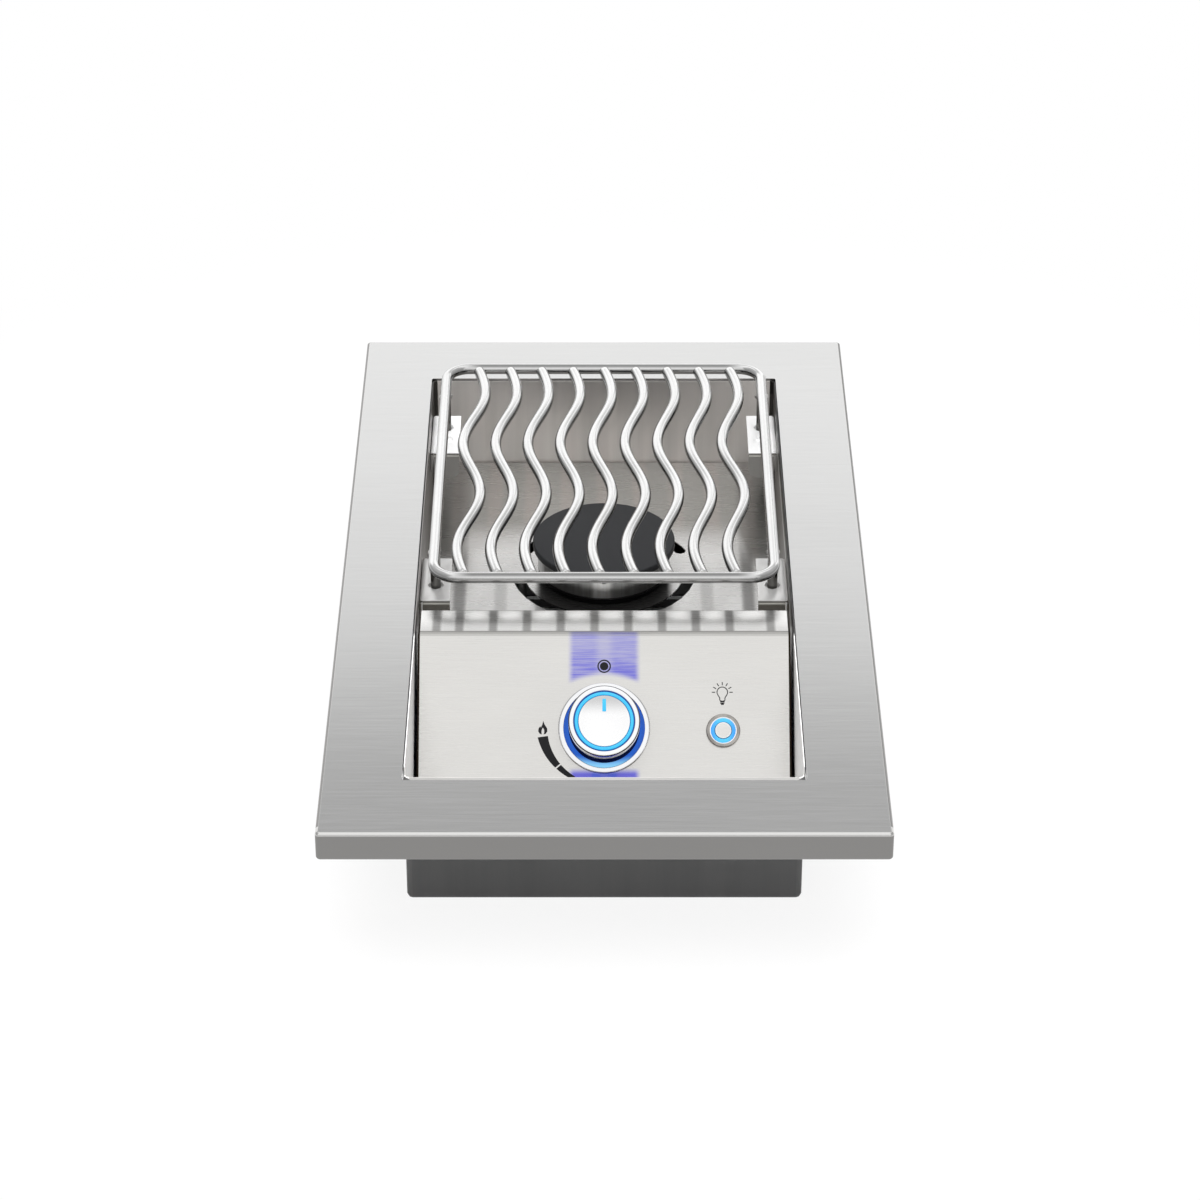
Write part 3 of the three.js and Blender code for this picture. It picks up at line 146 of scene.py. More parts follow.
def treeOf(*values):
    return next(value.tree for value in values if isinstance(value, Field))


def addNode(tree, kind, **settings):
    return setAll(tree.nodes.new(kind), **settings)


def feed(value, socket):  # a number, a colour or a field
    if isinstance(value, Field):
        value.tree.links.new(value.socket, socket)
    elif isinstance(value, (tuple, list)) and len(value) == 3 and socket.type == "RGBA":
        socket.default_value = (*value, 1)
    else:
        socket.default_value = value


def sums(operation, first, second=0.0, clamp=False):
    node = addNode(treeOf(first, second), "ShaderNodeMath", operation=operation, use_clamp=clamp)
    feed(first, node.inputs[0])
    feed(second, node.inputs[1])
    return Field(node.outputs[0])


def spread(value, low, high, outLow=0.0, outHigh=1.0):  # smooth step between two values
    node = addNode(value.tree, "ShaderNodeMapRange", interpolation_type="SMOOTHSTEP")
    names = ("Value", "From Min", "From Max", "To Min", "To Max")
    for socketName, number in zip(names, (value, low, high, outLow, outHigh)):
        feed(number, node.inputs[socketName])
    return Field(node.outputs["Result"])


def blended(share, first, second, way="MIX"):  # two colours
    node = addNode(treeOf(share, first, second), "ShaderNodeMix", data_type="RGBA", blend_type=way)
    sockets = [s for s in node.inputs if s.type == "RGBA"]
    feed(share, node.inputs["Factor"])
    feed(first, sockets[0])
    feed(second, sockets[1])
    return Field([s for s in node.outputs if s.type == "RGBA"][0])


def coated(colour, tones, **shares):  # lays tones over a colour in turn, each by its share
    for tone, share in shares.items():
        colour = blended(share, colour, tones[tone])
    return colour


def split(vector):
    node = addNode(vector.tree, "ShaderNodeSeparateXYZ")
    feed(vector, node.inputs[0])
    return [Field(output) for output in node.outputs]


def millimetres(place):
    node = addNode(place.tree, "ShaderNodeVectorMath", operation="SCALE")
    feed(place, node.inputs[0])
    feed(1 / mm, node.inputs["Scale"])
    return split(Field(node.outputs[0]))


def mapped(place, way, **settings):
    node = addNode(place.tree, "ShaderNodeMapping", vector_type=way)
    for socketName, value in settings.items():
        node.inputs[socketName].default_value = value
    feed(place, node.inputs["Vector"])
    return Field(node.outputs["Vector"])


def grain(place, scale, detail):
    texture = addNode(place.tree, "ShaderNodeTexNoise")
    for socketName, value in {"Scale": 1, "Detail": detail, "Roughness": 0.6}.items():
        texture.inputs[socketName].default_value = value
    feed(mapped(place, "POINT", Scale=scale), texture.inputs["Vector"])
    return Field(texture.outputs["Fac"])


def ramped(height, stops):
    ramp = addNode(height.tree, "ShaderNodeValToRGB")
    elements = ramp.color_ramp.elements
    while len(elements) < len(stops):
        elements.new(0.5)
    for element, (place, value) in zip(elements, stops):
        element.position = place
        element.color = (value, value, value, 1)
    feed(height, ramp.inputs[0])
    return Field(ramp.outputs["Color"])


def newMaterial(name):
    material = bpy.data.materials.new(name)
    material.use_nodes = True
    tree = material.node_tree
    place = Field(addNode(tree, "ShaderNodeTexCoord").outputs["Object"])
    return material, tree.nodes["Principled BSDF"].inputs, place


def toned(colour, factor):
    return tuple(min(channel * factor, 1) for channel in colour)


# One recipe for every surface: brushing or grain, soft clouding, and a little bump

grainEnds = (0.3, 0.7)  # the part of the noise that is used
usual = {
    "cloud": (14, 14, 14), "contrast": 0.08, "clouding": 0.05, "metallic": 1, "glow": 0, "bump": 0.1,
    "depth": 0.05, "paints": [],
}


def surface(name, look):
    look = {**usual, **look}
    material, inputs, place = newMaterial(name)
    fine = grain(place, look["grain"], 4)
    low, high = toned(look["colour"], 1 - look["contrast"]), toned(look["colour"], 1 + look["contrast"] / 2)
    colour = blended(spread(fine, *grainEnds), low, high)
    cloud = spread(grain(place, look["cloud"], 2), *grainEnds)
    shade = blended(cloud, (1 - look["clouding"],) * 3, (1, 1, 1))
    colour = blended(1.0, colour, shade, "MULTIPLY")
    rough = spread(fine, *grainEnds, *look["roughness"])
    feed(look["metallic"], inputs["Metallic"])
    for paint in look["paints"]:
        colour, rough = paint(place, inputs, colour, rough)
    feed(colour, inputs["Base Color"])
    feed(rough, inputs["Roughness"])
    feed(look["glow"], inputs["Emission Strength"])
    if "specular" in look:
        feed(look["specular"], inputs["Specular IOR Level"])
    if "light" in look:
        feed(look["light"], inputs["Emission Color"])
    bump = addNode(place.tree, "ShaderNodeBump")
    feed(look["bump"], bump.inputs["Strength"])
    feed(look["depth"] * mm, bump.inputs["Distance"])
    feed(fine, bump.inputs["Height"])
    feed(Field(bump.outputs["Normal"]), inputs["Normal"])
    return material


# Where the knob sits: the panel's own frame, x across, y up the slope, z out of the panel

panelSpot = {"centre": (0, -0.133533, 0.056610), "slope": math.radians(46)}
panelFrame = Matrix.Translation(panelSpot["centre"]) @ Matrix.Rotation(panelSpot["slope"], 4, "X")
panelScale = panelFrame @ Matrix.Scale(mm, 4)


def panelMillimetres(place):  # Object coordinates turned into the panel's frame
    slope = (panelSpot["slope"], 0, 0)
    return millimetres(mapped(place, "TEXTURE", Location=panelSpot["centre"], Rotation=slope))


# Paints: what varies over one surface. Places in millimetres; rows of four are for spread

trimPaint = {
    "outerX": 170, "outerY": 310, "skirt": (100.7, 101.5, 1, 0), "skirtTone": (0.25, 0.246, 0.24),
    "skirtRough": 0.15, "bend": (102.9, 102.98, 1, 0), "bendTone": (0.72, 0.715, 0.705),
    "sideTone": (0.30, 0.295, 0.29), "lipTop": 102.93, "lipFront": (-66, -60), "lipBright": (1, 1, 1),
    "lipDark": (0.02, 0.02, 0.02), "lipRear": (0.4, 0.39, 0.38), "lipRearFrom": 255, "lipDull": 0.8,
    "pale": (-300, -30, 0.75, 1),
}


def paintTrim(place, inputs, colour, rough):  # painted highlight along the front bend, painted shade on the other bends, the skirt and the lip
    own = trimPaint
    x, y, z = millimetres(place)
    outside = (abs(x) > own["outerX"]) | (abs(y) > own["outerY"])
    # painted shade: the flange darkens towards the front
    colour = blended(1.0, colour, spread(y, *own["pale"]), "MULTIPLY")
    # painted highlight along the front bend, painted shade along the side and rear bends
    bendTone = blended(y < -own["outerY"], own["sideTone"], own["bendTone"])
    colour = blended(spread(z, *own["bend"]) * outside, colour, bendTone)
    # painted shade on the skirt
    onSkirt = spread(z, *own["skirt"]) * outside
    colour = blended(onSkirt, colour, own["skirtTone"])
    # the opening's lip: painted highlight on its front part, painted shadow behind it, painted shade at the
    # rear
    isLip = (z < own["lipTop"]) * (1 - outside)
    behind = spread(y, *own["lipFront"])
    lipTone = blended(y > own["lipRearFrom"], own["lipDark"], own["lipRear"])
    colour = blended(isLip, colour, blended(behind, own["lipBright"], lipTone))
    feed(1 - isLip * (1 - behind) * own["lipDull"], inputs["Metallic"])
    return colour, rough + onSkirt * own["skirtRough"]


casingPaint = {
    "halfWidth": 126.2, "front": -245.5, "rear": 259.2, "floor": 31, "middle": 6.85, "cornerSum": 377.1,
    "outside": (0.082, 0.082, 0.082), "outsideDull": 0.45, "outsideRough": 0.25, "metal": 0.75,
    "sideFrom": 123, "sideTone": (0.37, 0.357, 0.345), "bright": (-92, -86, 1, 0),
    "brightTone": (1, 0.99, 0.97), "brightDull": 0.7, "shade": (195, 215), "shadeTone": (0.07, 0.066, 0.062),
    "lineTop": 84, "lineTone": (0.85, 0.84, 0.82), "darkTop": 91, "darkTone": (0.02, 0.019, 0.018),
    "ledge": 90, "ledgeTone": (0.53, 0.525, 0.51), "wallFrom": 250, "band": (22.9, 4, -0.9),
    "bandShare": 0.6, "bandTone": (0.80, 0.765, 0.745),
}
bandTop = 0.95


def bands(along, pitch, shift, low):  # soft bands that repeat along one direction
    return spread(sums("COSINE", (along + shift) * (2 * math.pi / pitch)), low, bandTop)


def paintOutside(place, inputs, colour, rough):  # dark outside, with the same dark tone as painted shade inside below the pan; painted reflections, highlights and shade on the walls within
    own = casingPaint
    x, y, z = millimetres(place)
    away = abs(x)
    inFront = y < own["front"]
    onLedge = inFront * (z > own["ledge"])
    atCorner = away + abs(y - own["middle"]) > own["cornerSum"]
    outside = (away > own["halfWidth"]) | atCorner | (inFront - onLedge)
    # inside, below the pan, the dark tone is painted shade
    outside = outside | (y > own["rear"]) | (z < own["floor"])
    onSide = away > own["sideFrom"]
    onRight = onSide * (x > 0)
    bright = spread(y, *own["bright"]) * onSide
    # painted reflection of the bars as bands on the rear wall; painted shade on the side walls, deeper to the
    # rear; a painted highlight line and a painted black shadow along the right wall's top; a painted
    # highlight at the front of the side walls; a mid tone on the front ledge
    colour = coated(
        colour, own,
        bandTone=bands(x, *own["band"]) * (y > own["wallFrom"]) * own["bandShare"],
        sideTone=onSide,
        lineTone=onRight * (z > own["lineTop"]),
        shadeTone=spread(y, *own["shade"]) * onSide,
        darkTone=onRight * (z > own["darkTop"]),
        brightTone=bright,
        ledgeTone=onLedge,
        outside=outside,
    )
    dull = outside * own["outsideDull"] + bright * own["brightDull"]
    feed(sums("SUBTRACT", own["metal"], dull, True), inputs["Metallic"])
    return colour, rough + outside * own["outsideRough"]


glowPaint = {
    "halfWidth": 22.2, "beside": (19.6, 24.8, 1, 0), "above": (33.9, 39.1), "archDrop": 4.9,
    "below": (-31.1, -25.9, 1, 0), "belowStreaks": (0.2, 0.7, 0.6, 1), "streakGrain": (35, 1500, 1500),
    "streaks": (0.36, 0.64, 0.62, 1), "fading": (32.5, 62.6, 1, 0.66), "middle": (1, 8, 0.72, 1), "line": -86,
    "tint": (0.165, 0.16, 0.68), "deep": (0.10, 0.14, 0.66), "spot": (7, 10, 1, 0),
}


def paintGlow(place, inputs, colour, rough):  # painted reflection of the blue light on the panel, above and below the knob
    own = glowPaint
    across, up, out = panelMillimetres(place)
    aside = abs(across)
    ratio = across / own["halfWidth"]
    streaks = spread(grain(place, own["streakGrain"], 4), *own["streaks"])
    streaks = streaks * spread(up, *own["fading"]) * spread(aside, *own["middle"])
    above = spread(up + ratio * ratio * own["archDrop"], *own["above"]) * streaks
    below = spread(up, *own["below"]) * spread(streaks, *own["belowStreaks"])
    inFront = millimetres(place)[1] < own["line"]
    share = spread(aside, *own["beside"]) * inFront * (above | below)
    tint = blended(spread(aside, *own["spot"]) * below, own["tint"], own["deep"])
    return blended(share, colour, tint), rough


stripPaint = {
    "height": 101.2, "pitch": 22.49, "offset": 6.42, "reach": 102, "rails": (-111.5, 110.9),
    "band": (1.5, 4.1, 1, 0), "depth": 0.62, "light": (0.98, 0.975, 0.96), "dark": (0.17, 0.165, 0.16),
    "edge": -85.8, "edgeHalf": 0.5, "edgeTone": (0.36, 0.35, 0.34), "below": (0.78, 0.78, 0.775),
    "margin": 122.2, "marginTone": (0.02, 0.014, 0.01),
}


def paintStrip(place, inputs, colour, rough):  # painted reflection: the polished strip is painted bright, with soft darker cross bands where it would mirror the bars and the rails
    own = stripPaint
    x, y, z = millimetres(place)
    high = z > own["height"]
    onStrip = high * (y > own["edge"])
    along = x + own["offset"]
    band = spread(sums("PINGPONG", along, own["pitch"] / 2), *own["band"]) * (abs(along) < own["reach"])
    for rail in own["rails"]:
        band = band | spread(abs(x - rail), *own["band"])
    # painted shade on the top of the slope, in front of the strip's edge
    colour = blended(high - onStrip, colour, own["below"], "MULTIPLY")
    # a painted dark line along the strip's edge, and painted black shadow in the gaps beside the panel
    colour = coated(
        colour, own,
        light=onStrip,
        dark=band * onStrip * own["depth"],
        edgeTone=(abs(y - own["edge"]) < own["edgeHalf"]) * high,
        marginTone=abs(x) > own["margin"],
    )
    return colour, rough


burnerPlace = 102  # how far behind the origin the burner stands

panPaint = {
    "rear": 256.3, "side": 122.9, "seam": (0.5, 0.48, 0.46), "dull": (144, 174),
    "dullTone": (0.59, 0.585, 0.56), "warm": (26.5, 0, -0.3), "warmShare": 0.75,
    "warmTone": (0.70, 0.65, 0.62), "aside": (96, 107), "asideReach": 42, "asideTone": (0.16, 0.158, 0.15),
    "asideShare": 0.5, "bar": (29.2, 102.2, 0.25), "barFront": (84, 112, 0.38, 0),
    "barTone": (0.31, 0.305, 0.30), "outer": (90, 92),
    "outerBar": (100, 150, 0.85, 0.3), "nearX": (44, 49, 1, 0), "nearR": 58.8, "near": (0.085, 0.084, 0.082),
}


def paintPan(place, inputs, colour, rough):  # painted reflections of the rear wall towards the rear and of the rods and burner in front; painted shade beside the rear shelves and along the seams
    own = panPaint
    x, y, z = millimetres(place)
    across = abs(x)
    aside = spread(across, *own["aside"])
    back = blended(bands(x, *own["warm"]) * own["warmShare"], own["dullTone"], own["warmTone"])
    back = blended(aside * own["asideShare"], back, own["asideTone"])
    # painted reflection of the rear wall and its bands towards the rear, with painted shade beside the
    # shelves
    colour = blended(spread(y + aside * own["asideReach"], *own["dull"]), colour, back)
    inBar = spread(y, *own["barFront"]) | (spread(across, *own["outer"]) * spread(y, *own["outerBar"]))
    offset = y - burnerPlace
    mirrored = (sums("SQRT", offset * offset + x * x) < own["nearR"]) * (offset < 0)
    # painted reflections of the rods and of the burner's dark base in front; painted shade along the seams
    colour = coated(
        colour, own,
        barTone=bands(x, *own["bar"]) * inBar,
        near=mirrored * spread(across, *own["nearX"]),
        seam=(across > own["side"]) | (abs(y) > own["rear"]),
    )
    return colour, rough


ringPaint = {"stripe": -1.5, "lit": (3.8, 8.8, 1, 0.36), "soft": (8.8, 33, 0.1, 0), "ends": (33, 46, 0, 0.75)}


def paintRing(place, inputs, colour, rough):  # painted highlight: one bright stripe down the front of the burner's side, painted shade beside it
    aside = abs(millimetres(place)[0] - ringPaint["stripe"])
    lit, soft, ends = [spread(aside, *ringPaint[part]) for part in ("lit", "soft", "ends")]
    return blended(1.0, colour, (lit + soft) | ends, "MULTIPLY"), rough


shelfPaint = {
    "rear": 150, "front": -25.9, "rearFront": 174.6, "rearTone": (1, 1, 1), "metal": 0.6, "rearDull": 0.4,
    "plate": 88.6, "dark": (0.12, 0.115, 0.105), "line": 87.55, "lineTone": (0.52, 0.51, 0.47),
    "lip": 86.2, "lipTone": (0.25, 0.235, 0.21), "rearLip": 86.5, "rearTint": (0.40, 0.39, 0.37),
}


def paintShelf(place, inputs, colour, rough):  # the folded front lips of the shelves lie in painted shade with a painted highlight line; the rear shelves are painted white as a painted highlight
    own = shelfPaint
    x, y, z = millimetres(place)
    atRear = y > own["rear"]
    onRearLip = (y < own["rearFront"]) * atRear
    onLip = onRearLip | (y < own["front"])
    colour = coated(
        colour, own,
        rearTone=atRear,
        dark=(z < own["plate"]) * onLip,
        lineTone=(z < own["line"]) * onLip,
        lipTone=(z < own["lip"]) * onLip,
        rearTint=(z < own["rearLip"]) * onRearLip,
    )
    feed(own["metal"] - atRear * own["rearDull"], inputs["Metallic"])
    return colour, rough


rodPaint = {
    "side": (117.5, 121.5),
    "sides": [(0, 0.3), (0.125, 0.3), (0.33, 0.46), (0.58, 0.62), (0.8, 0.8), (0.93, 0.95), (1, 1.0)],
    "railZ": 117.65, "railY": 102.25, "halfRun": 145.65, "near": 4.2, "straight": (88, 108, 1, 0),
    "turn": 0.36,
    "rails": [(0, 1.0), (0.335, 1.0), (0.36, 0.92), (0.393, 0.36), (0.434, 0.25), (0.466, 0.38),
              (0.499, 0.66), (0.5275, 0.8), (0.56, 0.64), (0.59, 0.56), (0.6275, 0.3), (0.668, 0.3),
              (0.77, 0.4), (1, 0.5)],
}


def paintRod(place, inputs, colour, rough):  # painted shading: rods darken to their sides, rails in painted light and dark bands round the tube
    own = rodPaint
    x, y, z = millimetres(place)
    side = ramped(spread(z, *own["side"]), own["sides"])
    offset = y - own["railY"]
    away = abs(offset) - own["halfRun"]
    forward = away * (1 - (offset > 0) * 2)
    turn = sums("ARCTAN2", forward, z - own["railZ"]) / (2 * math.pi)
    rail = ramped(turn + own["turn"], own["rails"])
    onRail = (abs(away) < own["near"]) * spread(abs(x), *own["straight"])
    return blended(1.0, colour, blended(onRail, side, rail), "MULTIPLY"), rough


wellPaint = {"pool": (-26, -17, 1, 0), "bright": (0.30, 0.70, 0.92), "deep": (0.022, 0.09, 0.42)}


def paintWell(place, inputs, colour, rough):  # painted light: the well glows, brightest where the light pools at its lower side
    pool = spread(panelMillimetres(place)[1], *wellPaint["pool"])
    feed(blended(pool, wellPaint["deep"], wellPaint["bright"]), inputs["Emission Color"])
    return colour, rough


skirtPaint = {
    "fade": (17, 26, 1, 0), "tone": (0.012, 0.022, 0.11), "shine": 0.5, "rimLow": 26.9, "rimHigh": 27.85,
    "rim": (0.05, 0.05, 0.055),
}


def paintKnobSide(place, inputs, colour, rough):  # painted reflection: the knob's side darkens towards the blue of the well, with a painted dark line on the rim
    own = skirtPaint
    out = panelMillimetres(place)[2]
    share = spread(out, *own["fade"])
    feed(1 - share, inputs["Metallic"])
    feed((1 - share) * own["shine"], inputs["Specular IOR Level"])
    return coated(colour, own, rim=(out > own["rimLow"]) * (out < own["rimHigh"]), tone=share), rough


domeTone = (3, 16, 1, 0.66)


def paintDome(place, inputs, colour, rough):  # painted shade: the silver face is greyer towards its upper edge
    return blended(1.0, colour, spread(panelMillimetres(place)[1], *domeTone), "MULTIPLY"), rough


switchPaint = {"x": 78.5, "side": (2, 7.5), "middleTone": (0.06, 0.50, 0.87), "sideTone": (0.022, 0.26, 0.76)}


def paintSwitch(place, inputs, colour, rough):  # painted shading: the lit ring is a deeper blue at its sides
    own = switchPaint
    share = spread(abs(panelMillimetres(place)[0] - own["x"]), *own["side"])
    feed(blended(share, own["middleTone"], own["sideTone"]), inputs["Emission Color"])
    return colour, rough


lens = {"grain": (120, 120, 120), "contrast": 0.1, "metallic": 0}
silver = {
    "slot": "face_silver", "colour": (0.985, 0.985, 0.99), "grain": (200, 200, 200), "contrast": 0.01,
    "roughness": (0.26, 0.3), "bump": 0.005,
}
looks = {
    "trimSteel": {
        "slot": "trim_steel", "colour": (0.79, 0.79, 0.785), "grain": (25, 2800, 2800), "cloud": (1.5, 6, 6),
        "contrast": 0.05, "clouding": 0.03, "roughness": (0.17, 0.21), "bump": 0.03, "depth": 0.02,
        "paints": [paintTrim],
    },
    "casingSteel": {
        "slot": "casing_steel", "colour": (0.93, 0.895, 0.865), "grain": (120, 120, 3),
        "cloud": (38, 38, 1.5), "contrast": 0.06, "clouding": 0.24, "roughness": (0.28, 0.36), "bump": 0.01,
        "paints": [paintOutside],
    },
    "panSteel": {
        "slot": "pan_steel", "colour": (1.0, 0.99, 0.975), "grain": (20, 500, 500), "cloud": (9, 9, 9),
        "contrast": 0.008, "clouding": 0.02, "roughness": (0.27, 0.285), "bump": 0, "metallic": 0.85,
        "paints": [paintPan],
    },
    "panelSteel": {
        "slot": "panel_steel", "colour": (0.745, 0.735, 0.712), "grain": (25, 2600, 2600),
        "cloud": (8, 20, 20), "contrast": 0.06, "clouding": 0.03, "roughness": (0.26, 0.34), "bump": 0.04,
        "paints": [paintGlow, paintStrip],
    },
    "bracketSteel": {
        "slot": "bracket_steel", "colour": (0.78, 0.775, 0.765), "grain": (20, 500, 500), "contrast": 0.03,
        "roughness": (0.3, 0.36), "bump": 0.02, "paints": [paintShelf],
    },
    "rodSteel": {
        "slot": "rod_steel", "colour": (0.93, 0.93, 0.925), "grain": (500, 500, 500), "contrast": 0.03,
        "roughness": (0.13, 0.17), "bump": 0.02, "depth": 0.01, "paints": [paintRod],
    },
    # painted shade: the legs are the rods' steel painted dark
    "legSteel": {
        "slot": "rod_steel", "colour": (0.15, 0.147, 0.14), "grain": (300, 300, 30), "contrast": 0.15,
        "roughness": (0.2, 0.26), "bump": 0.02,
    },
    "weldSteel": {
        "slot": "rod_steel", "colour": (0.70, 0.69, 0.67), "grain": (900, 900, 900), "contrast": 0.2,
        "roughness": (0.25, 0.4), "bump": 0.4, "depth": 0.2,
    },
    "burnerSteel": {
        "slot": "burner_steel", "colour": (0.97, 0.965, 0.95), "grain": (420, 420, 3), "contrast": 0.16,
        "roughness": (0.3, 0.36), "bump": 0.01, "paints": [paintRing],
    },
    "capEnamel": {
        "slot": "cap_black", "colour": (0.029, 0.0297, 0.032), "grain": (900, 900, 900), "contrast": 0.2,
        "roughness": (0.42, 0.55), "metallic": 0, "specular": 0.22, "bump": 0.12, "depth": 0.08,
    },
    "baseCasting": {
        "slot": "base_casting", "colour": (0.035, 0.035, 0.037), "grain": (700, 700, 700), "contrast": 0.25,
        "roughness": (0.36, 0.48), "bump": 0.2, "depth": 0.1,
    },
    "zincSteel": {
        "slot": "zinc_steel", "colour": (0.55, 0.56, 0.57), "grain": (200, 200, 200), "contrast": 0.15,
        "roughness": (0.3, 0.45),
    },
    "brass": {
        "slot": "valve_brass", "colour": (0.66, 0.48, 0.22), "grain": (300, 300, 40), "contrast": 0.12,
        "roughness": (0.25, 0.4),
    },
    "ceramic": {
        "slot": "insulator_ceramic", "colour": (0.85, 0.83, 0.78), "grain": (300, 300, 300), "contrast": 0.05,
        "roughness": (0.2, 0.35), "metallic": 0,
    },
    "modulePlastic": {
        "slot": "module_plastic", "colour": (0.02, 0.02, 0.022), "grain": (900, 900, 900), "contrast": 0.2,
        "roughness": (0.45, 0.6), "metallic": 0, "bump": 0.3, "depth": 0.1,
    },
    "chrome": {
        "slot": "knob_chrome", "colour": (0.90, 0.905, 0.92), "grain": (80, 80, 80), "contrast": 0.02,
        "roughness": (0.05, 0.08), "bump": 0.005,
    },
    "knobChrome": {
        "slot": "knob_chrome", "colour": (0.93, 0.935, 0.95), "grain": (80, 80, 80), "contrast": 0.02,
        "roughness": (0.06, 0.09), "bump": 0.005, "paints": [paintKnobSide],
    },
    # painted light: the seat glows blue from the light ring beside it
    "darkGasket": {
        "colour": (0.02, 0.03, 0.08), "grain": (300, 300, 300), "contrast": 0.1, "roughness": (0.4, 0.5),
        "metallic": 0, "light": (0.025, 0.09, 0.40), "glow": 0.6,
    },
    "faceSilver": silver,
    "domeSilver": {**silver, "paints": [paintDome]},
    "switchGlow": {
        **lens, "slot": "cyan_light", "colour": (0.02, 0.12, 0.2), "roughness": (0.25, 0.35), "glow": 0.9,
        "paints": [paintSwitch],
    },
    "cyanGlow": {
        **lens, "slot": "cyan_light", "colour": (0.02, 0.14, 0.2), "roughness": (0.25, 0.35),
        "light": (0.022, 0.44, 0.80), "glow": 0.9,
    },
    "blueGlow": {
        **lens, "slot": "blue_light", "colour": (0.02, 0.12, 0.6), "roughness": (0.2, 0.3),
        "light": (0.03, 0.28, 1.0), "glow": 1.2,
    },
    # painted light: the well's surface glows blue
    "blueWell": {
        **lens, "colour": (0.03, 0.06, 0.2), "roughness": (0.15, 0.25), "glow": 0.85, "paints": [paintWell],
    },
    "switchSteel": {
        "slot": "knob_chrome", "colour": (0.42, 0.40, 0.38), "grain": (60, 60, 60), "contrast": 0.35,
        "roughness": (0.16, 0.24), "bump": 0.01,
    },
    "buttonSteel": {
        "slot": "knob_chrome", "colour": (0.80, 0.79, 0.77), "grain": (12, 900, 900), "contrast": 0.05,
        "roughness": (0.25, 0.32), "bump": 0.02,
    },
    "printBlack": {
        "slot": "module_plastic", "colour": (0.012, 0.012, 0.013), "grain": (600, 600, 600), "contrast": 0.15,
        "roughness": (0.5, 0.6), "metallic": 0, "specular": 0.15, "bump": 0.05,
    },
}
finish = {name: surface(name, look) for name, look in looks.items()}
print("finishes made:", len(finish))


# Turning a bmesh into a finished piece

def finishPiece(name, bm, coats, body, replaced=(), sharp=40, matrix=None):  # its coats become its materials, in order
    if matrix is not None:
        bmesh.ops.transform(bm, matrix=matrix, verts=bm.verts)
    bmesh.ops.recalc_face_normals(bm, faces=bm.faces)
    mesh = bpy.data.meshes.new(name)
    bm.to_mesh(mesh)
    bm.free()
    mesh.polygons.foreach_set("use_smooth", [True] * len(mesh.polygons))
    mesh.set_sharp_from_angle(angle=math.radians(sharp))
    for coat in coats:
        mesh.materials.append(finish[coat])
    piece = addObject(name, mesh)
    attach(piece, body)
    if replaced:
        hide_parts(*replaced)
    return piece


def spun(profile, steps, closed=True):  # a profile of (radius, height) pairs turned once round Z
    bm = bmesh.new()
    verts = [bm.verts.new((radius, 0, height)) for radius, height in profile]
    edges = [bm.edges.new(pair) for pair in zip(verts, verts[1:])]
    if closed:
        edges.append(bm.edges.new((verts[-1], verts[0])))
    bmesh.ops.spin(
        bm, geom=verts + edges, cent=(0, 0, 0), axis=(0, 0, 1), angle=2 * math.pi,
        steps=steps, use_merge=True, use_duplicate=False,
    )
    bmesh.ops.remove_doubles(bm, verts=bm.verts, dist=0.0005)
    return bm


def tube(inner, outer, low, high, steps):
    return spun([(inner, low), (outer, low), (outer, high), (inner, high)], steps)


def softened(bm, width, segments=3, angle=30, chosen=None):  # rounds edges that turn by more than the angle
    edges = [e for e in bm.edges if len(e.link_faces) == 2 and e.calc_face_angle() > math.radians(angle)]
    if chosen:
        edges = [e for e in edges if chosen(e)]
    bmesh.ops.bevel(
        bm, geom=edges, affect="EDGES", offset=width, offset_type="OFFSET", segments=segments,
        profile=0.5, material=-1, clamp_overlap=True,
    )
    return bm


def raised(bm, faces, height, keep=False):  # pulls faces up
    made = bmesh.ops.extrude_face_region(bm, geom=faces, use_keep_orig=keep)["geom"]
    verts = [v for v in made if isinstance(v, bmesh.types.BMVert)]
    bmesh.ops.translate(bm, vec=(0, 0, height), verts=verts)


def placed(x, y, z):  # millimetres into metres, moved to a place
    return Matrix.Translation((x * mm, y * mm, z * mm)) @ Matrix.Scale(mm, 4)


def arcPoints(centreU, centreV, radius, start, end, steps):
    angles = [start + (end - start) * step / steps for step in range(steps + 1)]
    return [(centreU + radius * math.cos(a), centreV + radius * math.sin(a)) for a in angles]


def newCurve(name, kind, thick, fineness, closed):
    curve = setAll(
        bpy.data.curves.new(name, "CURVE"), dimensions="3D", bevel_depth=thick, bevel_resolution=fineness,
        use_fill_caps=not closed,
    )
    return curve, curve.splines.new(kind)


def meshed(curve, join):
    drawn = bpy.data.objects.new(curve.name, curve)
    mesh = bpy.data.meshes.new_from_object(drawn)
    bpy.data.objects.remove(drawn)
    bm = bmesh.new()
    bm.from_mesh(mesh)
    bpy.data.meshes.remove(mesh)
    bmesh.ops.remove_doubles(bm, verts=bm.verts, dist=join)
    return bm


# Trim frame: one sheet bent over the rim, with a skirt and a return hem

trim = {
    "width": 355.6, "depth": 635.8, "top": 103, "skirt": 20.3, "sheet": 1.2, "bend": 1.0, "corner": 2.5,
    "hem": 9, "hold": 0.12, "openingWidth": 254, "openingDepth": 520, "openingCorner": 2, "openingRim": 2,
    "openingBend": 0.14, "foldAngle": 60, "lip": 8, "bendSteps": 10, "cornerSteps": 8,
}


